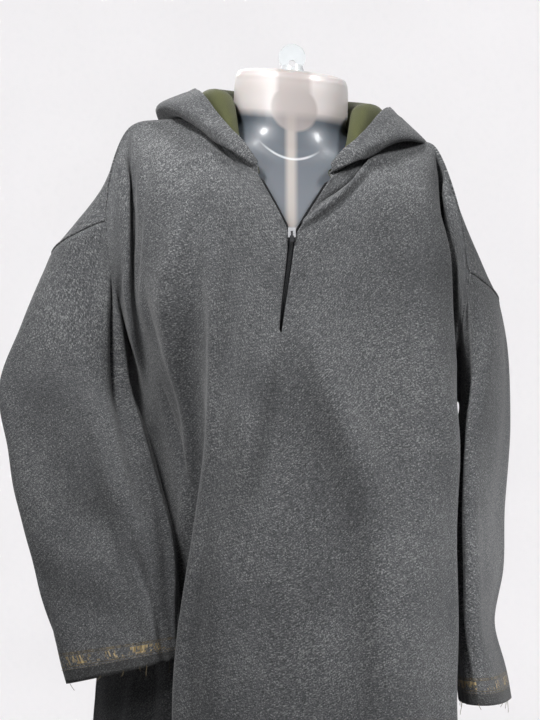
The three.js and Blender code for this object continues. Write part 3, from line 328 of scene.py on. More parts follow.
# %% Cubic curves
def cubic(knots, values, i, at):
    """Cubic through values at knots, at places inside the intervals that i names.

    In an interval the curve is a smooth step from one value to the next, plus the slope at each end times
    a hump that is nought at both ends. A slope is the mean of the rises on both sides, the shorter side
    weighing more. All arrays broadcast.
    """
    spans = np.diff(knots, axis=0)
    rises = np.diff(values, axis=0) / spans
    inner = (rises[:-1] * spans[1:] + rises[1:] * spans[:-1]) / (spans[1:] + spans[:-1])
    slopes = np.concatenate([rises[:1], inner, rises[-1:]])
    t = (at - knots[i]) / spans[i]
    step = t * t * (3 - 2 * t)
    humps = slopes[i] * t * (1 - t) ** 2 - slopes[i + 1] * t * t * (1 - t)
    return values[i] * (1 - step) + values[i + 1] * step + spans[i] * humps


def through(knots, values, at):
    """The cubic for one list of knots and any array of values, at an array of places."""
    knots, values, at = (np.asarray(a, float) for a in (knots, values, at))
    i = np.clip(np.searchsorted(knots, at) - 1, 0, len(knots) - 2)
    extra = (1,) * (values.ndim - 1)
    return cubic(knots.reshape(-1, *extra), values, i, at.reshape(-1, *extra))


def smooth(t):
    """0 below 0, 1 above 1, and an S curve between."""
    t = np.clip(t, 0, 1)
    return t * t * (3 - 2 * t)


def armhole(side, share):
    """Points of the armhole seam at shares of its loop, by a cubic closed on itself."""
    rows = ARMHOLE[side]
    knots = [row["share"] for row in rows]
    places = [[row["x"], row["y"], row["z"]] for row in rows]
    knots = [knots[-2] - 1, knots[-1] - 1, *knots, 1, 1 + knots[1]]
    places = [places[-2], places[-1], *places, places[0], places[1]]
    return through(knots, places, np.mod(share, 1))


# %% [markdown]
# ## The panels' surfaces
# Each station is joined down the cloth first, and then each row is joined across the stations. Where the
# front and back meet, both take the same points from the armhole and the shoulder seam.

# %% The panels' surfaces
def back_top(side):
    """The back's upper edge: its own neckline, then the shoulder seam that it shares with the front."""
    sign, front = SIDES[side], TOP_FRONT[side]
    own_x = [x * sign for x in TOP_BACK["x"]]
    own_z = [z - x * LEAN for x, z in zip(own_x, TOP_BACK["z"])]
    return dict(x=own_x + front["x"][2:], y=TOP_BACK["y"] + front["y"][2:], z=own_z + front["z"][2:])


def stations_at(panel, side, rows):
    """The eight stations at an array of rows, as [station, row, xyz].

    x and y are the cubic down the station's column of the table. z falls evenly from the upper edge to the
    hem. The last station follows the armhole down to the underarm, then the side seam.
    """
    top = TOP_FRONT[side] if panel == "front" else back_top(side)
    plan = (FRONT if panel == "front" else BACK)[side]
    net = []
    for s in range(len(STATIONS)):
        at_seam = STATIONS[s] == HALF_CUT
        start = ARMHOLE_DEPTH if at_seam else 0
        first = armhole(side, [0.5])[0] if at_seam else [top[axis][s] for axis in "xyz"]
        below = [row for row in plan if row["row"] > start]
        knots = [start] + [row["row"] for row in below]
        x = through(knots, [first[0]] + [row["x"][s] for row in below], rows)
        y = through(knots, [first[1]] + [row["y"][s] for row in below], rows)
        z = first[2] + (HEM_Z - first[2]) * (rows - start) / (LENGTH - start)
        line = np.stack([x, y, z], axis=-1)
        if at_seam:
            share = 0.5 * rows / ARMHOLE_DEPTH
            seam = armhole(side, share if panel == "front" else 1 - share)
            line = np.where((rows <= ARMHOLE_DEPTH)[:, None], seam, line)
        net.append(line)
    return np.array(net)


def panel_points(panel, side, across, rows):
    """Points [across, row, xyz] of a panel: the cubic across the stations of each row."""
    points = through(STATIONS, stations_at(panel, side, rows), across)
    if panel == "back" and rows[0] == 0:
        shoulder = panel_points("front", side, across, rows[:1])[:, 0]
        points[:, 0] = np.where((across >= STATIONS[2])[:, None], shoulder, points[:, 0])
    return points

# %% [markdown]
# ## The neck opening
# The opening follows a centre line that wanders a little, as the cloth hangs askew. It is a V down to the
# slider, then a slit down to the zip's end.

# %% The neck opening
CENTRE = dict(row=[0, SLIDER_ROW, ZIP_END, 350, LENGTH], x=[2, -1, -14, -23, -26])
OPENING = dict(top=41.5, slider=3.6, end=1.4)
EDGE_PULL = 14  # the cloth within this distance of the centre is drawn to the opening's edge


def centre_x(rows):
    return through(CENTRE["row"], CENTRE["x"], rows)


def opening_half(rows):
    """Half the opening's width: a nearly straight V above the slider, a closing slit below it."""
    from_slider = np.clip(1 - rows / SLIDER_ROW, 0, 1)
    above = OPENING["slider"] + (OPENING["top"] - OPENING["slider"]) * from_slider**1.1
    slit = (rows - SLIDER_ROW) / (ZIP_END - SLIDER_ROW)
    below = OPENING["slider"] + (OPENING["end"] - OPENING["slider"]) * slit
    return np.where(rows < SLIDER_ROW, above, below)


def front_points(side, across, rows):
    """The front panel, with its first few columns drawn sideways to the edge of the neck opening."""
    points = panel_points("front", side, across, rows)
    edge = centre_x(rows) + np.where(rows <= ZIP_END, SIDES[side] * opening_half(rows), 0)
    middle = panel_points("front", side, np.zeros(1), rows)[0, :, 0]
    weight = np.clip(1 - across / EDGE_PULL, 0, 1)
    points[:, :, 0] += weight[:, None] * (edge - middle)
    return points


# %% [markdown]
# ## Folds, creases and seams
# Cloth never hangs smooth. Each fold is a soft ridge or trough: a bell curve across, that follows a
# slanting line down the flat cloth and rises and fades at its ends. Sharp creases are narrow ones. A seam
# is a shallow valley, because stitches pull the cloth in, with small puckers on both sides of it. The
# height of all of these is summed on the flat cloth and laid on the hanging surface along its normals.

# %% Creases
CREASES = {
  "front_right": [
    dict(p0=236, row0=-60, p1=254, row1=190, width=10, depth=-8.5, ends=60),
    dict(p0=158, row0=10, p1=186, row1=230, width=11, depth=7, ends=60),
    dict(p0=196, row0=-40, p1=214, row1=170, width=11, depth=-5.5, ends=60),
    dict(p0=116, row0=50, p1=151, row1=300, width=9, depth=-8.5, ends=90),
    dict(p0=150, row0=230, p1=153, row1=520, width=8, depth=-7, ends=70),
    dict(p0=94, row0=100, p1=76, row1=430, width=11, depth=-10, ends=100),
    dict(p0=62, row0=70, p1=48, row1=400, width=16, depth=7, ends=110),
    dict(p0=68, row0=360, p1=60, row1=1300, width=13, depth=6, ends=180),
    dict(p0=190, row0=290, p1=138, row1=480, width=5.5, depth=6, ends=55),
    dict(p0=4, row0=140, p1=28, row1=430, width=13, depth=-8, ends=100),
    dict(p0=30, row0=18, p1=122, row1=66, width=15, depth=-5, ends=16),
    dict(p0=212, row0=560, p1=222, row1=1300, width=12, depth=-7, ends=160),
    dict(p0=178, row0=520, p1=186, row1=1300, width=10, depth=6, ends=160),
    dict(p0=14, row0=560, p1=20, row1=1300, width=14, depth=-5, ends=200),
  ],
  "front_left": [
    dict(p0=18, row0=130, p1=86, row1=470, width=13, depth=-8.5, ends=110),
    dict(p0=84, row0=400, p1=88, row1=1300, width=13, depth=-8, ends=140),
    dict(p0=16, row0=210, p1=12, row1=460, width=28, depth=6, ends=110),
    dict(p0=92, row0=26, p1=12, row1=66, width=17, depth=-9.5, ends=12),
    dict(p0=96, row0=4, p1=22, row1=44, width=17, depth=7, ends=12),
    dict(p0=234, row0=-60, p1=228, row1=220, width=10, depth=-8.5, ends=70),
    dict(p0=204, row0=-60, p1=202, row1=210, width=12, depth=6, ends=70),
    dict(p0=110, row0=110, p1=132, row1=380, width=12, depth=5.5, ends=100),
    dict(p0=172, row0=60, p1=178, row1=330, width=8, depth=-6, ends=80),
    dict(p0=124, row0=520, p1=130, row1=1300, width=13, depth=5.5, ends=180),
    dict(p0=214, row0=250, p1=212, row1=520, width=15, depth=5.5, ends=60),
    dict(p0=26, row0=620, p1=16, row1=1300, width=14, depth=-5.5, ends=160),
    dict(p0=188, row0=420, p1=190, row1=1300, width=10, depth=5, ends=160),
  ],
  "back_right": [
    dict(p0=10, row0=60, p1=64, row1=260, width=11, depth=-6, ends=60),
    dict(p0=56, row0=380, p1=62, row1=1300, width=11, depth=6, ends=180),
    dict(p0=112, row0=420, p1=118, row1=1300, width=10, depth=-6, ends=180),
    dict(p0=170, row0=60, p1=204, row1=300, width=10, depth=-7, ends=80),
    dict(p0=210, row0=260, p1=226, row1=760, width=11, depth=5.5, ends=140),
  ],
  "back_left": [
    dict(p0=26, row0=70, p1=88, row1=300, width=11, depth=-6, ends=70),
    dict(p0=84, row0=420, p1=88, row1=1300, width=11, depth=-7, ends=180),
    dict(p0=136, row0=340, p1=140, row1=1300, width=10, depth=6, ends=180),
    dict(p0=176, row0=50, p1=206, row1=280, width=10, depth=-6, ends=80),
    dict(p0=194, row0=300, p1=200, row1=900, width=11, depth=-6, ends=160),
  ],
  "sleeve_right": [
    dict(p0=0.17, row0=-60, p1=0.12, row1=350, width=0.034, depth=-9.5, ends=80),
    dict(p0=0.25, row0=-20, p1=0.27, row1=460, width=0.035, depth=6, ends=90),
    dict(p0=0.0, row0=40, p1=0.04, row1=330, width=0.03, depth=5.5, ends=80),
    dict(p0=0.86, row0=20, p1=0.9, row1=300, width=0.024, depth=-6, ends=80),
    dict(p0=0.99, row0=260, p1=0.88, row1=520, width=0.022, depth=-5, ends=60),
    dict(p0=0.06, row0=330, p1=0.16, row1=540, width=0.022, depth=-5.5, ends=60),
    dict(p0=0.6, row0=60, p1=0.56, row1=480, width=0.03, depth=6, ends=90),
  ],
  "sleeve_left": [
    dict(p0=0.045, row0=-60, p1=-0.03, row1=460, width=0.018, depth=5.5, ends=80),
    dict(p0=0.09, row0=40, p1=0.05, row1=500, width=0.022, depth=-6, ends=90),
    dict(p0=0.9, row0=20, p1=0.92, row1=330, width=0.024, depth=-5.5, ends=80),
    dict(p0=0.86, row0=250, p1=0.9, row1=520, width=0.022, depth=5, ends=80),
    dict(p0=0.42, row0=60, p1=0.42, row1=330, width=0.07, depth=3.5, ends=70),
    dict(p0=0.56, row0=40, p1=0.6, row1=500, width=0.03, depth=6, ends=90),
  ],
}

# %% [markdown]
# Three heights are added up: the folds and creases, low waves all over, since no cloth is flat, and the
# grooves at the seams.

# %% The heights of folds and seams
def fold_height(table, p, rows, loop=False):
    """Sum over the table of depth, times a rise and fade along the fold, times a bell curve across it."""
    height = np.zeros(np.broadcast_shapes(p.shape, rows.shape))
    for fold in table:
        along = (rows - fold["row0"]) / (fold["row1"] - fold["row0"])
        fade = smooth((rows - fold["row0"]) / fold["ends"]) * smooth((fold["row1"] - rows) / fold["ends"])
        across = p - (fold["p0"] + (fold["p1"] - fold["p0"]) * smooth(along))
        if loop:
            across = across - np.round(across)
        height += fold["depth"] * fade * np.exp(-((across / fold["width"]) ** 2))
    return height


def unevenness(p, rows, size, seed):
    """Low waves that cross each other: a sum of sines of different lengths and directions."""
    rng = np.random.default_rng(seed)
    total = np.zeros(np.broadcast_shapes(p.shape, rows.shape))
    for wavelength in (47, 71, 113, 167):
        angle, shift = rng.uniform(-0.5, 0.5), rng.uniform(0, 2 * np.pi, 2)
        turned = p * math.cos(angle) + rows * math.sin(angle)
        slow = np.sin(rows / (2.3 * wavelength) + shift[1])
        total += np.sin(2 * np.pi * turned / wavelength + shift[0]) * slow
    return total * size / 4


def seam_height(distance, along, swell=1.5, pucker=0.5, seed=0):
    """A groove at a seam: the cloth swells beside it and sinks to nothing in the seam itself, with puckers.

    The swell is an exponential fall from the seam times one minus a narrow bell curve.
    """
    rng = np.random.default_rng(seed)
    waves = sum(np.sin(2 * np.pi * along / wavelength + rng.uniform(0, 6)) for wavelength in (17, 29))
    groove = 1 - np.exp(-((distance / 2.6) ** 2))
    return groove * (swell * np.exp(-distance / 8) + 0.5 * pucker * waves * np.exp(-distance / 14))


# %% [markdown]
# ## From a net of points to a piece of cloth
# Every cloth piece is one grid of points, joined by quads. Where two halves are one piece of cloth, their
# shared points are merged. The flat cloth's own measures are kept as a UV map in metres, so that a weave
# keeps its true size and follows every fold. A Solidify modifier gives the sheet its thickness, inwards,
# which is how the real panel has it: one face outside, one face against the wearer.

# %% Cloth helpers
def grid_faces(columns, rows, flip, closed=False):
    """Quads of a grid of points numbered column by column. closed joins the last column to the first."""
    index = np.arange(columns * rows).reshape(columns, rows)
    after = np.roll(index, -1, axis=0) if closed else index[1:]
    before = index if closed else index[:-1]
    quads = np.stack([before[:, :-1], before[:, 1:], after[:, 1:], after[:, :-1]], axis=-1).reshape(-1, 4)
    return quads[:, ::-1] if flip else quads


def normals_of(points, faces):
    """Each point's normal: the sum of its faces' normals, which are the cross products of the diagonals."""
    a, b, c, d = (points[faces[:, k]] for k in range(4))
    face_normals = np.cross(c - a, d - b)
    total = np.zeros_like(points)
    for k in range(4):
        np.add.at(total, faces[:, k], face_normals)
    return total / np.maximum(np.linalg.norm(total, axis=1, keepdims=True), 1e-12)


def add_uv(mesh, name, uv):
    """A UV map in metres, from millimetres at each face corner."""
    mesh.uv_layers.new(name=name).data.foreach_set("uv", (uv * MM).reshape(-1).astype(np.float32))


def add_mesh(name, points, faces, uv=None, lid=None):
    """A smooth mesh object from points in millimetres, with heights from the fitting's top.

    uv has a value for each face's corner. lid is one more face, with any number of corners.
    """
    mesh = bpy.data.meshes.new(name)
    extra = [] if lid is None else [lid.tolist()]
    mesh.from_pydata(((points + [0, 0, TOP_Z]) * MM).tolist(), [], faces.tolist() + extra)
    if uv is not None:
        add_uv(mesh, "cut", uv)
    mesh.polygons.foreach_set("use_smooth", np.ones(len(mesh.polygons), bool))
    mesh.update()
    piece = bpy.data.objects.new(name, mesh)
    bpy.context.scene.collection.objects.link(piece)
    return piece


def finish_cloth(name, points, faces, flat, thickness, same=None):
    """Merges shared points, keeps flat as the UV map of each face corner, and thickens the sheet inwards."""
    same = np.arange(len(points)) if same is None else same
    kept, merged = np.unique(same, return_inverse=True)
    piece = add_mesh(name, points[kept], merged[faces], flat[faces])
    wall = piece.modifiers.new("thickness", "SOLIDIFY")
    wall.thickness = thickness * MM
    wall.offset = -1
    return piece


def area_of(points, faces):
    """Area of a sheet in square metres, from half the cross products of its quads' diagonals."""
    a, b, c, d = (points[faces[:, k]] for k in range(4))
    return float(np.linalg.norm(np.cross(c - a, d - b), axis=1).sum() / 2 * MM * MM)


# %% [markdown]
# ## The body panels
# The front is one panel, slit from the neck down for the zip. Its two halves share the points below the
# slit. The back is one panel too. The shoulder and side seams are where the two meet.

# %% Front and back panels
ACROSS = np.concatenate([np.linspace(0, 90, 28), np.linspace(90, HALF_CUT, 62)[1:]])
DOWN = np.concatenate([np.linspace(0, 260, 66), np.linspace(260, LENGTH, 132)[1:]])


def body_panel(panel):
    """One body panel: both halves on one grid, folds and seams laid on it, and merged along the middle."""
    points, lift, flat, faces = [], [], [], []
    p, rows = ACROSS[:, None], DOWN[None, :]
    for side, sign in SIDES.items():
        if panel == "front":
            half = front_points(side, ACROSS, DOWN)
        else:
            half = panel_points("back", side, ACROSS, DOWN)
        height = unevenness(p * sign, rows, 2.4, seed=12 if panel == "front" else 15)
        for other, towards in SIDES.items():
            name = panel + "_" + other
            height += fold_height(FOLDS[name] + CREASES[name], p * sign * towards, rows)
        height *= smooth(rows / 25) * smooth((HALF_CUT - p) / 25)
        height += seam_height(HALF_CUT - p, rows, seed=3 + sign)
        height += np.where(p > STATIONS[2], seam_height(rows, p, swell=1.0, seed=7 + sign), 0)
        quads = grid_faces(len(ACROSS), len(DOWN), flip=(sign > 0) == (panel == "front"))
        faces.append(quads + len(points) * half[..., 0].size)
        points.append(half.reshape(-1, 3))
        lift.append(height.reshape(-1))
        flat.append(np.stack(np.broadcast_arrays(p * sign, -rows), axis=-1).reshape(-1, 2))
    points, lift, flat, faces = (np.concatenate(part) for part in (points, lift, flat, faces))
    same = np.arange(len(points))
    joined = np.nonzero(DOWN > (ZIP_END if panel == "front" else -1))[0]
    same[len(points) // 2 + joined] = joined
    shared = same[faces]
    normals = normals_of(points[same], shared)[same]
    points = points + normals * lift[:, None]
    piece = finish_cloth(panel + "_panel", points, faces, flat, WOOL, same)
    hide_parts(panel)
    print(panel, "quads", len(faces), "area", round(area_of(points, shared), 3), "square metres")
    return piece


front_panel, back_panel = body_panel("front"), body_panel("back")

# %% [markdown]
# ## The sleeves
# Each sleeve is a wide tube set into a dropped armhole. Off the body it collapses to a flat shape: rings
# that are much wider than thick, which turn from the round armhole to the flat cuff. The ring's width
# lies across the view on the wearer's right and edge-on on the left, where the arm hangs turned.

# %% Sleeves
AROUND = np.linspace(0, 1, 121)[:-1]


def sleeve_points(side, share, along):
    """Points [share, along, xyz]: the cubic from the armhole seam through the flattened rings.

    A ring's point is its centre, minus half the width times the cosine of its turn along the bearing, plus
    the thickness times the sine of its turn along the face.
    """
    table, sign = SLEEVE[side], SIDES[side]
    turn = through(RING_SHARE, RING_TURN, np.mod(share, 1))
    places = [armhole(side, share)]
    for ring in table:
        angle, bearing = np.radians(turn + ring["lead"]), math.radians(ring["bearing"])
        reach, out = -ring["half"] * np.cos(angle), ring["thick"] * np.sin(angle)
        ahead = np.array([math.cos(bearing), -math.sin(bearing)])
        face = np.array([ahead[1], -ahead[0]]) * sign
        plan = np.array([ring["x"], ring["y"]]) + reach[:, None] * ahead + out[:, None] * face
        low = ring["drop"] / 2 * reach / ring["half"] + ring["dip"] / 2 * out / ring["thick"]
        places.append(np.column_stack([plan, ring["z"] - low]))
    knots = [0] + [ring["along"] for ring in table]
    return through(knots, np.array(places), along).transpose(1, 0, 2)


def sleeve(side):
    """One sleeve: a tube on a grid of share round the armhole and distance down from it."""
    length = SLEEVE[side][-1]["along"]
    along = np.linspace(0, length, 112)
    p, down = AROUND[:, None], along[None, :]
    points = sleeve_points(side, AROUND, along)
    # Width round the flat sleeve: the distance walked round each ring, so the weave is never stretched.
    steps = np.linalg.norm(np.diff(points, axis=0, append=points[:1]), axis=2)
    around = np.concatenate([np.zeros((1, len(along))), np.cumsum(steps, axis=0)])
    around -= around[-1] / 2
    girth = around[:-1]
    height = fold_height(FOLDS["sleeve_" + side] + CREASES["sleeve_" + side], p, down, loop=True)
    height += unevenness(p * 2 * ARMHOLE_DEPTH, down, 2.0, seed=23 + SIDES[side])
    height = height * smooth(down / 25) + seam_height(down, girth, seed=31)
    faces = grid_faces(len(AROUND), len(along), flip=side == "left", closed=True)
    points = points.reshape(-1, 3)
    points = points + normals_of(points, faces) * height.reshape(-1, 1)
    # The UV map is cut open at the shoulder, so it's worked out for one column more than the tube has.
    flat = np.stack(np.broadcast_arrays(around, -down), axis=-1).reshape(-1, 2)
    open_faces = grid_faces(len(AROUND) + 1, len(along), flip=side == "left")
    same = np.arange(len(flat))
    same[len(points):] = np.arange(len(along))
    whole = np.concatenate([points, points[: len(along)]])
    piece = finish_cloth("sleeve_" + side + "_cloth", whole, open_faces, flat, WOOL, same)
    add_uv(piece.data, "cuff", (flat + [0, length])[open_faces])
    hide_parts("sleeve_" + side)
    print("sleeve", side, "quads", len(faces), "area", round(area_of(points, faces), 3), "square metres")
    return piece


sleeves = {side: sleeve(side) for side in SIDES}

# %% [markdown]
# ## The hood
# The hood is thrown back: from the neck seam the cloth stands up against the neck, falls outwards into a
# trough behind the shoulders and comes back up to the edge that would frame the face. Its lining shows
# inside. Each half is a family of profiles, one for every bearing round the neck.

# %% Hood and lining
NECK = np.concatenate([np.linspace(0, 90, 46), np.linspace(90, 0, 46)[1:]])
NECK_FRONT = 46


def hood_points(side, turns):
    """Points [bearing, v, xyz]: v counts along the profile's named points, by a cubic over chord lengths."""
    sign = SIDES[side]
    edge = np.zeros(1)
    seam = np.concatenate([front_points(side, NECK[:NECK_FRONT], edge)[:, 0],
                           panel_points("back", side, NECK[NECK_FRONT:], edge)[:, 0]])
    bearing = np.arctan2(np.abs(seam[:, 0]), -seam[:, 1])
    at = np.maximum(HOOD[0]["bearing"], np.degrees(bearing))
    start = np.column_stack([np.hypot(seam[:, 0], seam[:, 1]), seam[:, 2] + seam[:, 0] * LEAN])
    bearings = [row["bearing"] for row in HOOD]
    sags = {"face": np.array([[0, row["sag"]] for row in HOOD])} if side == "left" else {}
    places = {name: np.array([row[name] for row in HOOD]) - sags.get(name, 0) for name in HOOD_PROFILE}
    profile = np.array([start] + [through(bearings, places[name], at) for name in HOOD_PROFILE])
    steps = np.linalg.norm(np.diff(profile, axis=0), axis=2)
    knots = np.concatenate([np.zeros((1, len(seam))), np.cumsum(steps, axis=0)])
    i = np.minimum(len(profile) - 2, np.floor(turns).astype(int))
    place = knots[i] + (knots[i + 1] - knots[i]) * (turns - i)[:, None]
    r, z = np.moveaxis(cubic(knots[..., None], profile, i, place[..., None]), -1, 0)
    x = sign * r * np.sin(bearing)
    return np.stack([x, -r * np.cos(bearing), z - x * LEAN], axis=-1).transpose(1, 0, 2), place.T


def hood_half(side):
    """A hood half and its lining, which is the same net moved in along its normals."""
    turns = np.linspace(0, len(HOOD_PROFILE), 73)
    points, place = hood_points(side, turns)
    faces = grid_faces(len(NECK), len(turns), flip=side == "left")
    around = np.concatenate([[0], np.cumsum(np.linalg.norm(np.diff(points[:, 0], axis=0), axis=1))])
    flat = np.stack(np.broadcast_arrays(around[:, None] * SIDES[side], place), axis=-1).reshape(-1, 2)
    points = points.reshape(-1, 3)
    p, v = np.broadcast_arrays(around[:, None], place)
    height = unevenness(p, v, 1.4, seed=41 + SIDES[side]) * smooth(v / 30)
    height += seam_height(np.abs(place.max(axis=1, keepdims=True) - v - 9), p, swell=0.7, pucker=0.8, seed=5)
    normals = normals_of(points, faces)
    points = points + normals * height.reshape(-1, 1)
    area = area_of(points, faces)
    outer = finish_cloth("hood_" + side + "_cloth", points, faces, flat, WOOL)
    inside = points - normals * (WOOL + SEAM_GAP)
    inner = finish_cloth("hood_" + side + "_lining", inside, faces, flat, LINING)
    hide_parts("hood_" + side)
    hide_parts("hood_lining_" + side)
    print("hood", side, "area", round(area, 3))
    return outer, inner, area


hoods = {side: hood_half(side) for side in SIDES}

# %% [markdown]
# ## The zip
# A short nylon coil zip closes the neck. Each side is a woven tape, sewn behind the edge of the opening,
# with a coil of nylon wire along its own edge. Above the slider the coils part into a V; below it they
# lie hooked together. A coil is a helix, so it is a wire carried along a flattened spiral.

# %% Tapes and coils
TAPE = dict(top=5, under=7, thick=0.9, depth=2.6, above=3.4, clear=0.3, at_slider=2.1)
COIL = dict(pitch=1.6, half_width=1.2, half_height=0.8, wire=0.5)


def unit(vectors):
    return vectors / np.maximum(np.linalg.norm(vectors, axis=-1, keepdims=True), 1e-12)


def beside_opening(side, rows):
    """The opening's edge, the direction across the opening there, and the cloth's outward normal."""
    rim, beside = front_points(side, np.array([0.0, 14.0]), rows)
    across = unit(rim - beside)
    normal = unit(np.cross(np.gradient(beside, axis=0), across)) * -SIDES[side]
    return rim, across, normal


def tape_reach(rows):
    """How far the tape shows beyond the edge: a set width, less in the slit and beside the slider's post."""
    room = opening_half(rows) - TAPE["clear"]
    showing = np.minimum(TAPE["above"], np.where(rows < SLIDER_ROW, TAPE["above"], room))
    return showing - (showing - TAPE["at_slider"]) * np.exp(-(((rows - SLIDER_ROW) / 7) ** 2))


def tube(path, outward, radius, sides):
    """Points and faces of a tube: at each point of the path a circle, in the plane across the path.

    outward gives each circle's first direction, made square to the path.
    """
    ahead = unit(np.gradient(path, axis=0))
    first = unit(outward - (outward * ahead).sum(axis=1, keepdims=True) * ahead)
    second = np.cross(ahead, first)
    angle = np.linspace(0, 2 * np.pi, sides, endpoint=False)[:, None, None]
    rings = path + radius * (np.cos(angle) * first + np.sin(angle) * second)
    return rings.reshape(-1, 3), grid_faces(sides, len(path), flip=True, closed=True)


def zip_side(side):
    """One tape with its coil. The helix turns once per tooth, flattened against the tape."""
    rows = np.linspace(TAPE["top"], ZIP_END, 94)
    rim, across, normal = beside_opening(side, rows)
    reach = tape_reach(rows)
    share = np.linspace(0, 1, 6)[:, None]
    offset = -TAPE["under"] + (reach + TAPE["under"]) * share
    points = rim + offset[..., None] * across - TAPE["depth"] * normal
    flat = np.stack(np.broadcast_arrays(offset, -rows), axis=-1).reshape(-1, 2)
    faces = grid_faces(6, len(rows), flip=side == "left")
    tape = finish_cloth("zip_tape_" + side + "_cloth", points.reshape(-1, 3), faces, flat, TAPE["thick"])
    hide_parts("zip_tape_" + side)

    turns = (ZIP_END - TAPE["top"]) / COIL["pitch"]
    phase = np.linspace(0, 2 * np.pi * turns, int(turns * 12))
    fine = np.linspace(TAPE["top"], ZIP_END, len(phase))
    rim, across, normal = beside_opening(side, fine)
    beyond = tape_reach(fine) - 0.6 + 1.3 * smooth((SLIDER_ROW - 6 - fine) / 10)
    middle = rim + beyond[:, None] * across - (TAPE["depth"] - COIL["half_height"]) * normal
    outward = COIL["half_width"] * np.cos(phase)[:, None] * across
    outward = outward + COIL["half_height"] * np.sin(phase)[:, None] * normal
    coil_points, coil_faces = tube(middle + outward, outward, COIL["wire"], 6)
    coil = add_mesh("zip_coil_" + side, coil_points, coil_faces)
    return tape, coil, area_of(points.reshape(-1, 3), faces)


zips = {side: zip_side(side) for side in SIDES}
print("zip tapes", {side: round(part[2], 5) for side, part in zips.items()})

# %% [markdown]
# ## Topstitching
# The hood's edge is turned in and held by a row of stitches a finger's width inside it. A stitch is a
# thread that rises from one hole and sinks into the next, so each is a small capsule: an ellipse across,
# and an arch along. All of them are one mesh, laid along a line on the cloth.

# %% Stitches
def stitch_row(name, path, up, length=3.4, gap=1.0, width=0.55, rise=0.45):
    """Capsules along a path: points at the cos and sin of a turn round the thread, thinned at both ends."""
    walked = np.concatenate([[0], np.cumsum(np.linalg.norm(np.diff(path, axis=0), axis=1))])
    centres = np.arange(length, walked[-1] - length, length + gap)
    place = np.stack([np.interp(centres, walked, path[:, k]) for k in range(3)], axis=-1)
    above = unit(np.stack([np.interp(centres, walked, up[:, k]) for k in range(3)], axis=-1))
    ahead = unit(np.stack([np.interp(centres + 1, walked, path[:, k]) for k in range(3)], axis=-1) - place)
    aside = np.cross(above, ahead)
    t = np.linspace(-1, 1, 7)
    turn = np.linspace(0, 2 * np.pi, 6, endpoint=False)
    size = np.sqrt(np.clip(1 - t**2, 0.02, 1)) * width / 2
    along = t * length / 2
    lift = rise * (1 - t**2) - 0.25
    x = np.broadcast_to(along, (6, 7))
    y = np.cos(turn)[:, None] * size
    z = np.sin(turn)[:, None] * size + lift
    one = np.stack([x, y, z], axis=-1).reshape(-1, 3)
    points = (place[:, None] + one[None, :, :1] * ahead[:, None] + one[None, :, 1:2] * aside[:, None]
              + one[None, :, 2:] * above[:, None]).reshape(-1, 3)
    quads = grid_faces(6, 7, flip=True, closed=True)
    faces = (quads[None] + (np.arange(len(centres)) * len(one))[:, None, None]).reshape(-1, 4)
    return add_mesh(name, points, faces)


def line_at(points, place, distance):
    """On each column of a net, the point at a distance from its start, between the two nearest points."""
    i = np.clip((place < distance[:, None]).sum(axis=1) - 1, 0, place.shape[1] - 2)[:, None]
    low, high = (np.take_along_axis(place, i + k, axis=1) for k in (0, 1))
    weight = ((distance[:, None] - low) / (high - low))[..., None]
    a, b = (np.take_along_axis(points, (i + k)[..., None], axis=1) for k in (0, 1))
    return (a + (b - a) * weight)[:, 0]


def hood_stitches(side, inside=9.0):
    """The stitch line on the hood: the net's points that lie a set distance from the face edge."""
    points, place = hood_points(side, np.linspace(0, len(HOOD_PROFILE), 73))
    faces = grid_faces(len(NECK), 73, flip=side == "left")
    normals = normals_of(points.reshape(-1, 3), faces).reshape(points.shape)
    wanted = np.maximum(place[:, -1] - inside, place[:, -1] * 0.6)
    path, up = line_at(points, place, wanted), unit(line_at(normals, place, wanted))
    return stitch_row("hood_" + side + "_stitches", path + up * 0.3, up)


hood_threads = {side: hood_stitches(side) for side in SIDES}

# %% [markdown]
# A cuff has one row of stitches, and its raw edge frays, so a few loose threads hang from it, longer and
# shorter. A bar tack, a short block of zigzag stitches, stops the zip's lower end from tearing.

# %% Cuffs and the bar tack
def cuff_stitches(side, above=14.0):
    """The stitch line round a cuff: the ring of the sleeve at a set height above its end."""
    length = SLEEVE[side][-1]["along"]
    along = np.linspace(length - above - 6, length - above + 6, 3)
    net = sleeve_points(side, AROUND, along)
    ring = np.concatenate([net, net[:1]])
    up = unit(np.cross(np.gradient(ring, axis=0)[:, 1], ring[:, 2] - ring[:, 0])) * SIDES[side]
    return stitch_row("cuff_" + side + "_stitches", ring[:, 1] + up * 0.5, up, length=2.6, gap=1.4, width=0.6)


def loose_threads(side, count):
    """Frayed ends at a cuff: threads that hang from its edge on a slow wave, each a thin tube."""
    rng = np.random.default_rng(61 + SIDES[side])
    length = SLEEVE[side][-1]["along"]
    points, faces = [], []
    for share in rng.uniform(0, 1, count):
        start = sleeve_points(side, np.array([share]), np.array([length - 2.0]))[0, 0]
        t = np.linspace(0, 1, 12)[:, None]
        drop, drift, phase = rng.uniform(5, 17), rng.uniform(-5, 5, 2), rng.uniform(0, 6)
        sway = np.column_stack([np.sin(3 * t + phase), np.cos(4 * t + phase)]) * 1.2 * t
        path = start + np.column_stack([drift * t**2 + sway, -drop * t])
        thread, quads = tube(path, np.tile([1.0, 0, 0], (12, 1)), 0.28, 5)
        faces.append(quads + 60 * len(points))
        points.append(thread)
    return add_mesh("cuff_" + side + "_loose_threads", np.concatenate(points), np.concatenate(faces))


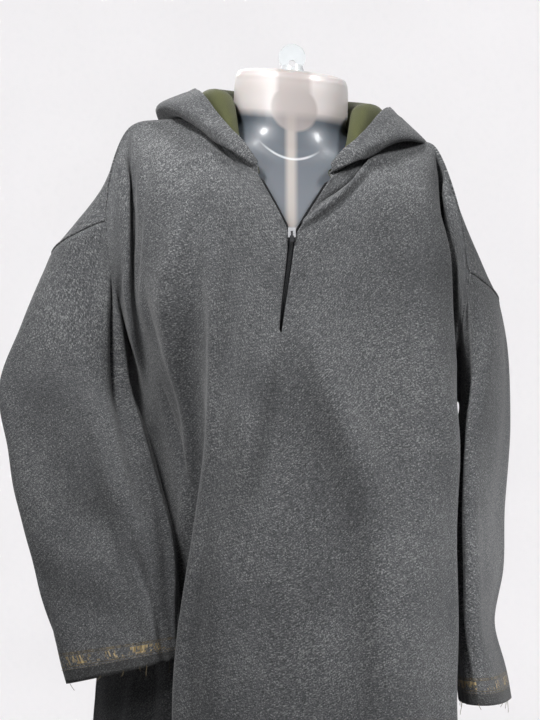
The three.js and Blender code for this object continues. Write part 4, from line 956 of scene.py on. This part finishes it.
def bar_tack():
    """The white stitches that bar the zip's lower end: short rows one above the other."""
    rows = np.linspace(ZIP_END - 1.5, ZIP_END + 9, 8)
    rim, across, normal = beside_opening("right", rows)
    zigzag = np.stack([rim - 4 * across, rim - 1 * across], axis=1).reshape(-1, 3)
    cloth = np.array([vertex.co for vertex in front_panel.data.vertices]) / MM - [0, 0, TOP_Z]
    nearest = ((cloth[None, :, [0, 2]] - zigzag[:, None, [0, 2]]) ** 2).sum(axis=2).argmin(axis=1)
    zigzag[:, 1] = cloth[nearest, 1] - 0.6
    return stitch_row("zip_bar_tack", zigzag, np.repeat(normal, 2, axis=0), length=2.2, gap=0.4, width=0.75)


LOOSE_ENDS = {"right": 7, "left": 12}  # loose threads at each cuff
cuff_threads = {side: [cuff_stitches(side), loose_threads(side, LOOSE_ENDS[side])] for side in SIDES}
tack = bar_tack()

# %% [markdown]
# ## The display torso
# The torso is a blown plastic shell, hollow and open below, with a rounded neck that a fitting tops. Every
# section is a superellipse, which is what lies between an ellipse and a rectangle. Revolving a profile
# would make it round, so width and depth come from separate columns of the table.

# %% Torso
TORSO_AROUND = 96


def torso_net():
    """Rings of superellipses: x is the half width times a power of the cosine, y a depth times one of the
    sine.

    Above the first ring the same ring shrinks towards the middle, which closes the neck with a low dome.
    """
    first = TORSO[0]["z"]
    z = np.concatenate([np.linspace(first, -34, 9), np.linspace(-34, -50, 14)[1:],
                        np.linspace(-50, -260, 60)[1:], np.linspace(-260, TORSO_BOTTOM, 40)[1:]])
    knots = [-ring["z"] for ring in TORSO]
    columns = [[ring[name] for ring in TORSO] for name in ("half", "front", "back", "power")]
    half, front, back, power = (through(knots, column, -z) for column in columns)
    cap = np.linspace(0.02, 1, 9)[:-1]
    z = np.concatenate([first + 1.2 * (1 - cap**2), z])
    half, front, back = (np.concatenate([cap * size[0], size]) for size in (half, front, back))
    power = np.concatenate([np.full(len(cap), power[0]), power])
    turn = np.linspace(0, 2 * np.pi, TORSO_AROUND, endpoint=False)[:, None]
    bend = lambda wave: np.sign(wave) * np.abs(wave) ** (2 / power)
    x = half * bend(np.cos(turn)) + TORSO_DRIFT * np.minimum(z - first, 0)
    y = np.where(np.sin(turn) < 0, front, back) * bend(np.sin(turn))
    # The collarbones: a low ridge that sags to the breastbone, a bell curve across and along.
    from_collar = z - (-134.5 + 0.0125 * x * x)
    y -= np.where(y < 0, 1.8 * np.exp(-((from_collar / 4.5) ** 2) - (x / 38) ** 4), 0)
    return np.stack([x, y, z - x * LEAN], axis=-1)


def torso():
    """The shell: the net with its innermost ring closed by a lid, thickened inwards and open below."""
    net = torso_net()
    columns, rings = net.shape[:2]
    crown = np.arange(columns)[::-1] * rings
    faces = grid_faces(columns, rings, flip=False, closed=True)
    piece = add_mesh("torso_shell", net.reshape(-1, 3), faces, lid=crown)
    wall = piece.modifiers.new("wall", "SOLIDIFY")
    wall.thickness, wall.offset = SHELL * MM, -1
    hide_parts("torso_form")
    return piece


torso_shell = torso()

# %% [markdown]
# ## Materials
# One helper turns a hex colour, as a paint chart gives it, into the linear numbers that light adds up in.
# One more adds a node with its settings and links. Every pattern's scale is a real size: with the UV map
# in metres, a noise of scale 900 has features just over a millimetre wide.

# %% Material helpers
def linear(hex_colour):
    """sRGB hex to linear: below a small value a straight line, above it a power of 2.4."""
    parts = [int(hex_colour[i:i + 2], 16) / 255 for i in (0, 2, 4)]
    return tuple(c / 12.92 if c <= 0.04045 else ((c + 0.055) / 1.055) ** 2.4 for c in parts) + (1.0,)


def add_node(tree, kind, links=None, **settings):
    """Adds a node, sets its properties, and links or sets its inputs."""
    made = tree.nodes.new(kind)
    for name, value in settings.items():
        setattr(made, name, value)
    for name, value in (links or {}).items():
        if isinstance(value, bpy.types.NodeSocket):
            tree.links.new(value, made.inputs[name])
        else:
            made.inputs[name].default_value = value
    return made


def new_material(name):
    """An empty node material and its tree."""
    made = bpy.data.materials.new(name)
    made.use_nodes = True
    made.node_tree.nodes.clear()
    return made, made.node_tree


def finish_material(tree, links, normal=None):
    """A Principled shader with these inputs, linked to the output."""
    if normal is not None:
        links = {**links, "Normal": normal}
    shader = add_node(tree, "ShaderNodeBsdfPrincipled", links)
    add_node(tree, "ShaderNodeOutputMaterial", {"Surface": shader.outputs[0]})


def ramp(tree, value, stops):
    """A colour ramp with (place, hex colour) stops."""
    made = add_node(tree, "ShaderNodeValToRGB", {"Fac": value})
    elements = made.color_ramp.elements
    while len(elements) < len(stops):
        elements.new(0.5)
    for element, (place, hex_colour) in zip(elements, stops):
        element.position, element.color = place, linear(hex_colour)
    return made.outputs["Color"]


# %% [markdown]
# Patterns are arithmetic on coordinates. These helpers add one step of it each, so that a material below
# reads as the list of things that make up its look.

# %% Pattern helpers
def math_node(tree, operation, a, b, c=None, clamp=False):
    """One arithmetic node: its inputs are numbers or the outputs of other nodes."""
    inputs = {0: a, 1: b} if c is None else {0: a, 1: b, 2: c}
    return add_node(tree, "ShaderNodeMath", inputs, operation=operation, use_clamp=clamp).outputs[0]


def band(tree, value, low, high, soft):
    """1 between two heights and 0 outside, with soft edges: the product of a rising and a falling line."""
    rise = math_node(tree, "MULTIPLY_ADD", value, 1 / soft, 0.5 - low / soft, clamp=True)
    fall = math_node(tree, "MULTIPLY_ADD", value, -1 / soft, 0.5 + high / soft, clamp=True)
    return math_node(tree, "MULTIPLY", rise, fall)


def mixed(tree, share, a, b):
    """A mix of two colours by a share."""
    made = add_node(tree, "ShaderNodeMix", data_type="RGBA")
    made.inputs[0].default_value = 0.5
    for socket, value in ((made.inputs[0], share), (made.inputs[6], a), (made.inputs[7], b)):
        if isinstance(value, bpy.types.NodeSocket):
            tree.links.new(value, socket)
        else:
            socket.default_value = value
    return made.outputs[2]


def noise(tree, vector, scale, dimensions="3D", **more):
    """A smooth noise's value. more sets its Detail and Roughness."""
    return add_node(tree, "ShaderNodeTexNoise", {"Vector": vector, "Scale": scale, **more},
                    noise_dimensions=dimensions).outputs[0]


def cell_noise(tree, vector, across, along):
    """One random value in each cell of a grid: coordinates snapped to the grid, then a white noise."""
    cell = add_node(tree, "ShaderNodeVectorMath", {0: vector, 1: (across, along, 1)}, operation="SNAP")
    return add_node(tree, "ShaderNodeTexWhiteNoise", {"Vector": cell.outputs[0]},
                    noise_dimensions="2D").outputs["Value"]

# %% [markdown]
# Tweed is woven from yarns spun of grey, black and white wool, then milled, which felts the surface. Close
# to, it is salt and pepper. Snapping the cloth's own coordinates to a grid of yarn crossings and giving
# each cell a random value makes the flecks: one grid is long along the warp, the other along the weft. A
# fine noise bends the grid, as felting does, and a slanting wave adds the twill line.
#
# The sleeve ends are the cloth's own woven selvedge: a darker strip, above it a band of short metallic
# weft floats, and a stitch line between. A second UV map holds the height above the sleeve's end.

# %% Tweed
SHEEN = 0.18  # the short felted hairs catch light at the cloth's edge


def selvedge(tree, colour):
    """Lays the woven band of a sleeve's end on a colour, by the height above that end.

    The weave's own colour gets a dark strip, then three dotted thread lines, then the gold floats where two
    noises together are high.
    """
    above = add_node(tree, "ShaderNodeUVMap", uv_map="cuff").outputs[0]
    height = add_node(tree, "ShaderNodeSeparateXYZ", {0: above}).outputs[1]
    strip = band(tree, height, -0.01, 0.0135, 0.0012)
    dark = mixed(tree, math_node(tree, "MULTIPLY", strip, 0.55), colour, linear("232220"))
    lines = 0.0
    for low in (0.0162, 0.0288, 0.0305):
        lines = math_node(tree, "ADD", band(tree, height, low, low + 0.0009, 0.0005), lines)
    dotted = cell_noise(tree, above, 0.0024, 1)
    dots = mixed(tree, dotted, linear("1f1e1c"), linear("85744f"))
    dark = mixed(tree, math_node(tree, "MULTIPLY", lines, 0.75), dark, dots)
    floats = cell_noise(tree, above, 0.0017, 0.0034)
    worn = noise(tree, above, 24.0, "2D", Detail=1.0)
    gold = math_node(tree, "MULTIPLY_ADD", worn, 3.2, math_node(tree, "SUBTRACT", floats, 2.05))
    gold = math_node(tree, "MULTIPLY", gold, 2.0, clamp=True)
    gold = math_node(tree, "MULTIPLY", gold, band(tree, height, 0.0182, 0.0274, 0.0006))
    return mixed(tree, gold, dark, mixed(tree, dotted, linear("7d6a45"), linear("c4ae82")))


def tweed(name, cuff=False):
    """Milled twill, with the woven selvedge band at the end of a sleeve if cuff is set."""
    made, tree = new_material(name)
    cut = add_node(tree, "ShaderNodeUVMap", uv_map="cut").outputs[0]
    wander = add_node(tree, "ShaderNodeTexNoise", {"Vector": cut, "Scale": 1300.0, "Detail": 1.0},
                      noise_dimensions="2D").outputs["Color"]
    bent = add_node(tree, "ShaderNodeVectorMath", {0: wander, 1: (0.0005, 0.0005, 0), 2: cut},
                    operation="MULTIPLY_ADD").outputs[0]
    warp, weft = cell_noise(tree, bent, 0.0007, 0.0013), cell_noise(tree, bent, 0.0013, 0.0007)
    clumps = noise(tree, cut, 700.0, "2D", Detail=2.0, Roughness=0.6)
    turned = {"Vector": cut, "Rotation": (0, 0, math.radians(52))}
    slant = add_node(tree, "ShaderNodeMapping", turned).outputs[0]
    twill = add_node(tree, "ShaderNodeTexWave", {"Vector": slant, "Scale": 105.0, "Distortion": 1.5,
                                                 "Detail": 1.0, "Detail Scale": 2.0}).outputs["Fac"]
    wear = noise(tree, cut, 9.0, "2D", Detail=3.0)
    shade = math_node(tree, "MULTIPLY_ADD", weft, 0.34, math_node(tree, "MULTIPLY", warp, 0.34))
    for part, weight in ((clumps, 0.2), (twill, 0.08), (wear, 0.26)):
        shade = math_node(tree, "MULTIPLY_ADD", part, weight, shade)
    colour = ramp(tree, shade, [(0.26, "303133"), (0.48, "454648"), (0.70, "58595b"), (0.92, "888989")])
    if cuff:
        colour = selvedge(tree, colour)
    clumped = math_node(tree, "MULTIPLY_ADD", weft, 1.0, math_node(tree, "MULTIPLY", clumps, 1.6))
    relief = math_node(tree, "ADD", warp, clumped)
    bump = add_node(tree, "ShaderNodeBump", {"Height": relief, "Strength": 0.35, "Distance": 0.0004})
    finish_material(tree, {"Base Color": colour, "Roughness": 0.95, "Sheen Weight": SHEEN,
                           "Sheen Roughness": 0.6, "Specular IOR Level": 0.12}, bump.outputs[0])
    return made


wool = tweed("milled_grey_tweed")
cuffed_wool = tweed("milled_grey_tweed_with_selvedge", cuff=True)

# %% [markdown]
# A plain weave has no twill line: its threads cross one over one. Two band waves at right angles, multiplied,
# leave a small bump at each crossing. The lining is fine and matt, the tape finer and a little shiny.

# %% Lining, tape and thread
def plain_weave(name, dark, light, scale, roughness, sheen=0.1):
    """A plain weave: two crossed band waves, one per set of threads, that give colour and relief."""
    made, tree = new_material(name)
    cut = add_node(tree, "ShaderNodeUVMap", uv_map="cut").outputs[0]
    threads = {"Vector": cut, "Scale": scale, "Distortion": 0.6}
    waves = [add_node(tree, "ShaderNodeTexWave", threads, bands_direction=direction).outputs["Fac"]
             for direction in ("X", "Y")]
    weave = math_node(tree, "MULTIPLY", waves[0], waves[1])
    shade = math_node(tree, "MULTIPLY_ADD", noise(tree, cut, 40.0, "2D"), 0.7, weave)
    colour = ramp(tree, shade, [(0.2, dark), (1.0, light)])
    bump = add_node(tree, "ShaderNodeBump", {"Height": weave, "Strength": 0.4, "Distance": 0.0003})
    finish_material(tree, {"Base Color": colour, "Roughness": roughness, "Sheen Weight": sheen},
                    bump.outputs[0])
    return made


lining_cloth = plain_weave("olive_cotton_lining", "33351c", "4d5029", 260, 0.85)
tape_cloth = plain_weave("black_woven_tape", "15171a", "2a2d31", 420, 0.75)

# %% [markdown]
# Nylon wire and enamel are smooth and black; nickel plate is a slightly dulled mirror; sewing thread is matt.

# %% Nylon, nickel and thread
def simple(name, hex_colour, **inputs):
    """A material of one colour whose roughness wanders a little, as handling leaves it."""
    made, tree = new_material(name)
    place = add_node(tree, "ShaderNodeTexCoord").outputs["Object"]
    wear = noise(tree, place, 60.0, Detail=3.0)
    links = {key.replace("_", " ").title(): value for key, value in inputs.items()}
    links["Roughness"] = math_node(tree, "MULTIPLY_ADD", wear, 0.12, links["Roughness"] - 0.06)
    finish_material(tree, {"Base Color": linear(hex_colour), **links})
    return made


nylon = simple("black_nylon_wire", "17191c", roughness=0.4)
nickel = simple("bright_nickel_plate", "c8cacc", roughness=0.25, metallic=1.0)
enamel = simple("black_enamel", "17181b", roughness=0.35)
clear_plastic = simple("clear_moulded_plastic", "dfe3e5", roughness=0.15, transmission_weight=0.5)
grey_thread = simple("grey_sewing_thread", "56575a", roughness=0.8)
white_thread = simple("white_bar_tack_thread", "d8d6d2", roughness=0.8)
brown_thread = simple("brown_gold_selvedge_thread", "6d6047", roughness=0.7)

# %% [markdown]
# The torso is a translucent plastic, blown and left with a fine frosted skin: light enters, scatters inside
# the wall and leaves again, so its edges glow and its highlights stay broad.

# %% Frosted plastic
def frosted_plastic():
    """Translucent plastic: milky at the neck, with painted shade below it: a smoky grey for the dark inside
    of the garment seen through the wall.

    Heights follow the torso's lean. A bell shape in the neck is where the wall is thickest. A streak below it
    is a painted highlight. Both are bands in x.
    """
    made, tree = new_material("frosted_blown_plastic")
    place = add_node(tree, "ShaderNodeTexCoord").outputs["Object"]
    x, _, z = add_node(tree, "ShaderNodeSeparateXYZ", {0: place}).outputs
    height = math_node(tree, "MULTIPLY_ADD", x, LEAN, z)
    cloud = noise(tree, place, 14.0, Detail=3.0)
    # Painted shade: below the neck the plastic is painted a smoky grey, darkest just under the neck and
    # lighter lower down.
    shade_gradient = add_node(tree, "ShaderNodeMapRange", {"Value": height, "From Min": -0.075, "From Max": -0.2,
                                                 "To Min": 0.0, "To Max": 1.0}).outputs[0]
    painted_shade_and_highlight = mixed(tree, shade_gradient, linear("4f565e"), linear("6f737a"))
    # Painted highlight: a pale vertical streak down the middle below the neck, laid over the painted shade.
    painted_highlight_streak = math_node(tree, "MULTIPLY", band(tree, x, -0.007, 0.004, 0.006), 0.8)
    painted_shade_and_highlight = mixed(tree, painted_highlight_streak, painted_shade_and_highlight, linear("b8b0aa"))
    from_middle = add_node(tree, "ShaderNodeCombineXYZ", {0: math_node(tree, "SUBTRACT", x, 0.002), 1: 0.0,
                                                          2: math_node(tree, "ADD", height, 0.06)}).outputs[0]
    away = add_node(tree, "ShaderNodeVectorMath", {0: from_middle}, operation="LENGTH").outputs["Value"]
    column = math_node(tree, "MULTIPLY", band(tree, x, -0.017, 0.021, 0.006),
                       band(tree, height, -0.06, 0.0, 0.01))
    bell = math_node(tree, "MAXIMUM", math_node(tree, "MULTIPLY_ADD", away, -300.0, 8.4, clamp=True), column)
    edge = math_node(tree, "MULTIPLY_ADD", cloud, 0.004, height)
    # Above a wavering line at the neck the plastic keeps its own milky colour; below it lies the painted
    # shade.
    colour = mixed(tree, band(tree, edge, -0.066, 1.0, 0.010), painted_shade_and_highlight, linear("d3cbc9"))
    colour = mixed(tree, math_node(tree, "MULTIPLY", bell, 0.75), colour, linear("a39a97"))
    # A painted highlight: a thin pale line along the crest of the collarbones' ridge, in place of a
    # reflection.
    along_ridge = math_node(tree, "ADD", height, 0.1187)
    curve = math_node(tree, "MULTIPLY_ADD", math_node(tree, "MULTIPLY", x, x), -12.5, along_ridge)
    painted_ridge_highlight = math_node(tree, "MULTIPLY", band(tree, curve, -0.0008, 0.001, 0.0022),
                      band(tree, x, -0.030, 0.024, 0.016))
    colour = mixed(tree, math_node(tree, "MULTIPLY", painted_ridge_highlight, 0.75), colour, linear("eef0f2"))
    rough = math_node(tree, "MULTIPLY_ADD", cloud, 0.12, 0.36)
    finish_material(tree, {"Base Color": colour, "Roughness": rough, "Transmission Weight": 0.12,
                           "Coat Weight": 0.22, "Coat Roughness": 0.14, "Subsurface Weight": 0.15,
                           "Subsurface Scale": 0.01})
    return made


frosted = frosted_plastic()


# %% [markdown]
# ## Dressing the pieces
# Each piece gets its material and the body that it moves with. The slider, the pull and
# the fitting are hard parts, so their own solids are shown and only take a finish.

# %% Dress the pieces
def dress(piece, material, body="garment"):
    """Gives a piece its material, and lets it ride on its body."""
    piece.data.materials.clear()
    piece.data.materials.append(material)
    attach(piece, body)


for piece in [front_panel, back_panel] + [hoods[side][0] for side in SIDES]:
    dress(piece, wool)
for side in SIDES:
    dress(sleeves[side], cuffed_wool)
    dress(hoods[side][1], lining_cloth)
    dress(zips[side][0], tape_cloth)
    dress(zips[side][1], nylon)
    dress(hood_threads[side], grey_thread)
    for thread in cuff_threads[side]:
        dress(thread, brown_thread)
dress(tack, white_thread)
dress(torso_shell, frosted)
for name, finish in (("zip_slider", nickel), ("zip_pull", enamel), ("torso_fitting", clear_plastic)):
    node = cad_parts[name]
    node.data.materials.clear()
    node.data.materials.append(finish)

# %% [markdown]

# %% [markdown]
# ## Studio
# A pale floor that curves up into a wall all round, as a photographer's paper sweep does, so that no
# horizon shows from any side. The paper has a lamp of its own and is left out of the bounced light; the
# cloth is lit by a key lamp above and to one side, so that its folds cast soft shade down and across.

# %% The paper sweep
FLOOR_Z = HEM_Z - 900  # the whole thing hangs well clear of the floor
SWEEP = dict(flat=6600, curve=3300, top=14300)  # the floor's radius, the curve's, and the wall's height


def sweep():
    """A round dish: flat to a radius, then a quarter turn up into a wall, revolved about Z."""
    turn = np.linspace(0, np.pi / 2, 14)
    flat, curve = SWEEP["flat"], SWEEP["curve"]
    r = np.concatenate([[1, 2000, 4000, flat], flat + curve * np.sin(turn[1:]), [flat + curve]])
    z = np.concatenate([[0, 0, 0, 0], curve * (1 - np.cos(turn[1:])), [SWEEP["top"]]])
    angle = np.linspace(0, 2 * np.pi, 96, endpoint=False)[:, None]
    points = np.stack(np.broadcast_arrays(r * np.cos(angle), r * np.sin(angle), z + FLOOR_Z), axis=-1)
    paper = add_mesh("paper_sweep", points.reshape(-1, 3), grid_faces(96, len(r), flip=False, closed=True))
    made, tree = new_material("matt_white_paper")
    grain = noise(tree, add_node(tree, "ShaderNodeTexCoord").outputs["Object"], 1.5)
    finish_material(tree, {"Base Color": ramp(tree, grain, [(0, "eeecee"), (1, "f6f4f6")]), "Roughness": 1.0,
                           "Specular IOR Level": 0.0})
    paper.data.materials.append(made)
    paper.visible_diffuse = False
    return paper


paper = sweep()
paper_only = bpy.data.collections.new("lit_by_the_paper_lamp")
paper_only.objects.link(paper)

# %% [markdown]
# Big soft lamps stand close, so shadows have soft edges: a key from above, a weaker one from the other side
# to open the shadows, two faint fills, and one behind for the edges. The world adds a little light all round.

# %% Lamps
LAMPS = [
  dict(name="key", place=(-0.6, -0.8, 0.8), target=(0, 0, -0.15), size=0.25, power=19),
  dict(name="right", place=(0.75, -0.7, 0.75), target=(0.05, 0, -0.1), size=0.25, power=13),
  dict(name="left", place=(-0.8, -1.2, 0.05), target=(-0.1, -0.1, -0.1), size=0.5, power=1.2, spread=75),
  dict(name="side", place=(1.1, -0.9, -0.5), target=(0.22, 0, -0.6), size=0.4, power=0.8, spread=35),
  dict(name="rear", place=(-0.9, 2.3, 1.1), target=(0, 0, -0.4), size=1.2, power=34),
]
PAPER_LAMP = dict(power=3730, radius=0.5, above_floor=5.5)


def soft_light(name, place, target, size, power, spread=180):
    """A square lamp that faces its target, all in metres. spread is its beam's full angle in degrees."""
    data = bpy.data.lights.new(name, "AREA")
    data.size, data.energy, data.spread = size, power, math.radians(spread)
    lamp = bpy.data.objects.new(name, data)
    lamp.location = place
    aim = np.array(target) - np.array(place)
    tip = math.acos(-aim[2] / np.linalg.norm(aim))
    lamp.rotation_euler = (tip, 0, math.atan2(aim[1], aim[0]) - math.pi / 2)
    bpy.context.scene.collection.objects.link(lamp)


for lamp in LAMPS:
    soft_light(**lamp)
paper_lamp = bpy.data.lights.new("paper_lamp", "POINT")
paper_lamp.energy, paper_lamp.shadow_soft_size = PAPER_LAMP["power"], PAPER_LAMP["radius"]
lamp = bpy.data.objects.new("paper_lamp", paper_lamp)
lamp.location = (0, 0, FLOOR_Z * MM + PAPER_LAMP["above_floor"])
lamp.light_linking.receiver_collection = paper_only
bpy.context.scene.collection.objects.link(lamp)
world = bpy.data.worlds.new("studio_air")
world.use_nodes = True
world.node_tree.nodes["Background"].inputs[0].default_value = linear("f4f4f6")
world.node_tree.nodes["Background"].inputs[1].default_value = 0.08
bpy.context.scene.world = world
bpy.context.scene.view_settings.view_transform = "Standard"

# %% [markdown]
# The camera looks level from the front. Its lens is worked out from how tall a slice of the cloth it frames.

# %% Camera
CAMERA_DISTANCE = 3.5  # from the front of the cloth
VIEW_HEIGHT = 0.8054  # what the frame covers there, in metres
camera_data = bpy.data.cameras.new("camera")
camera_data.sensor_fit = "VERTICAL"
camera_data.sensor_height = 24
camera_data.lens = 12 / (VIEW_HEIGHT / 2 / CAMERA_DISTANCE)
camera = bpy.data.objects.new("camera", camera_data)
camera.location = (-0.0254, -0.11 - CAMERA_DISTANCE, -0.3458)
camera.rotation_euler = (math.pi / 2, 0, 0)
bpy.context.scene.collection.objects.link(camera)
bpy.context.scene.camera = camera
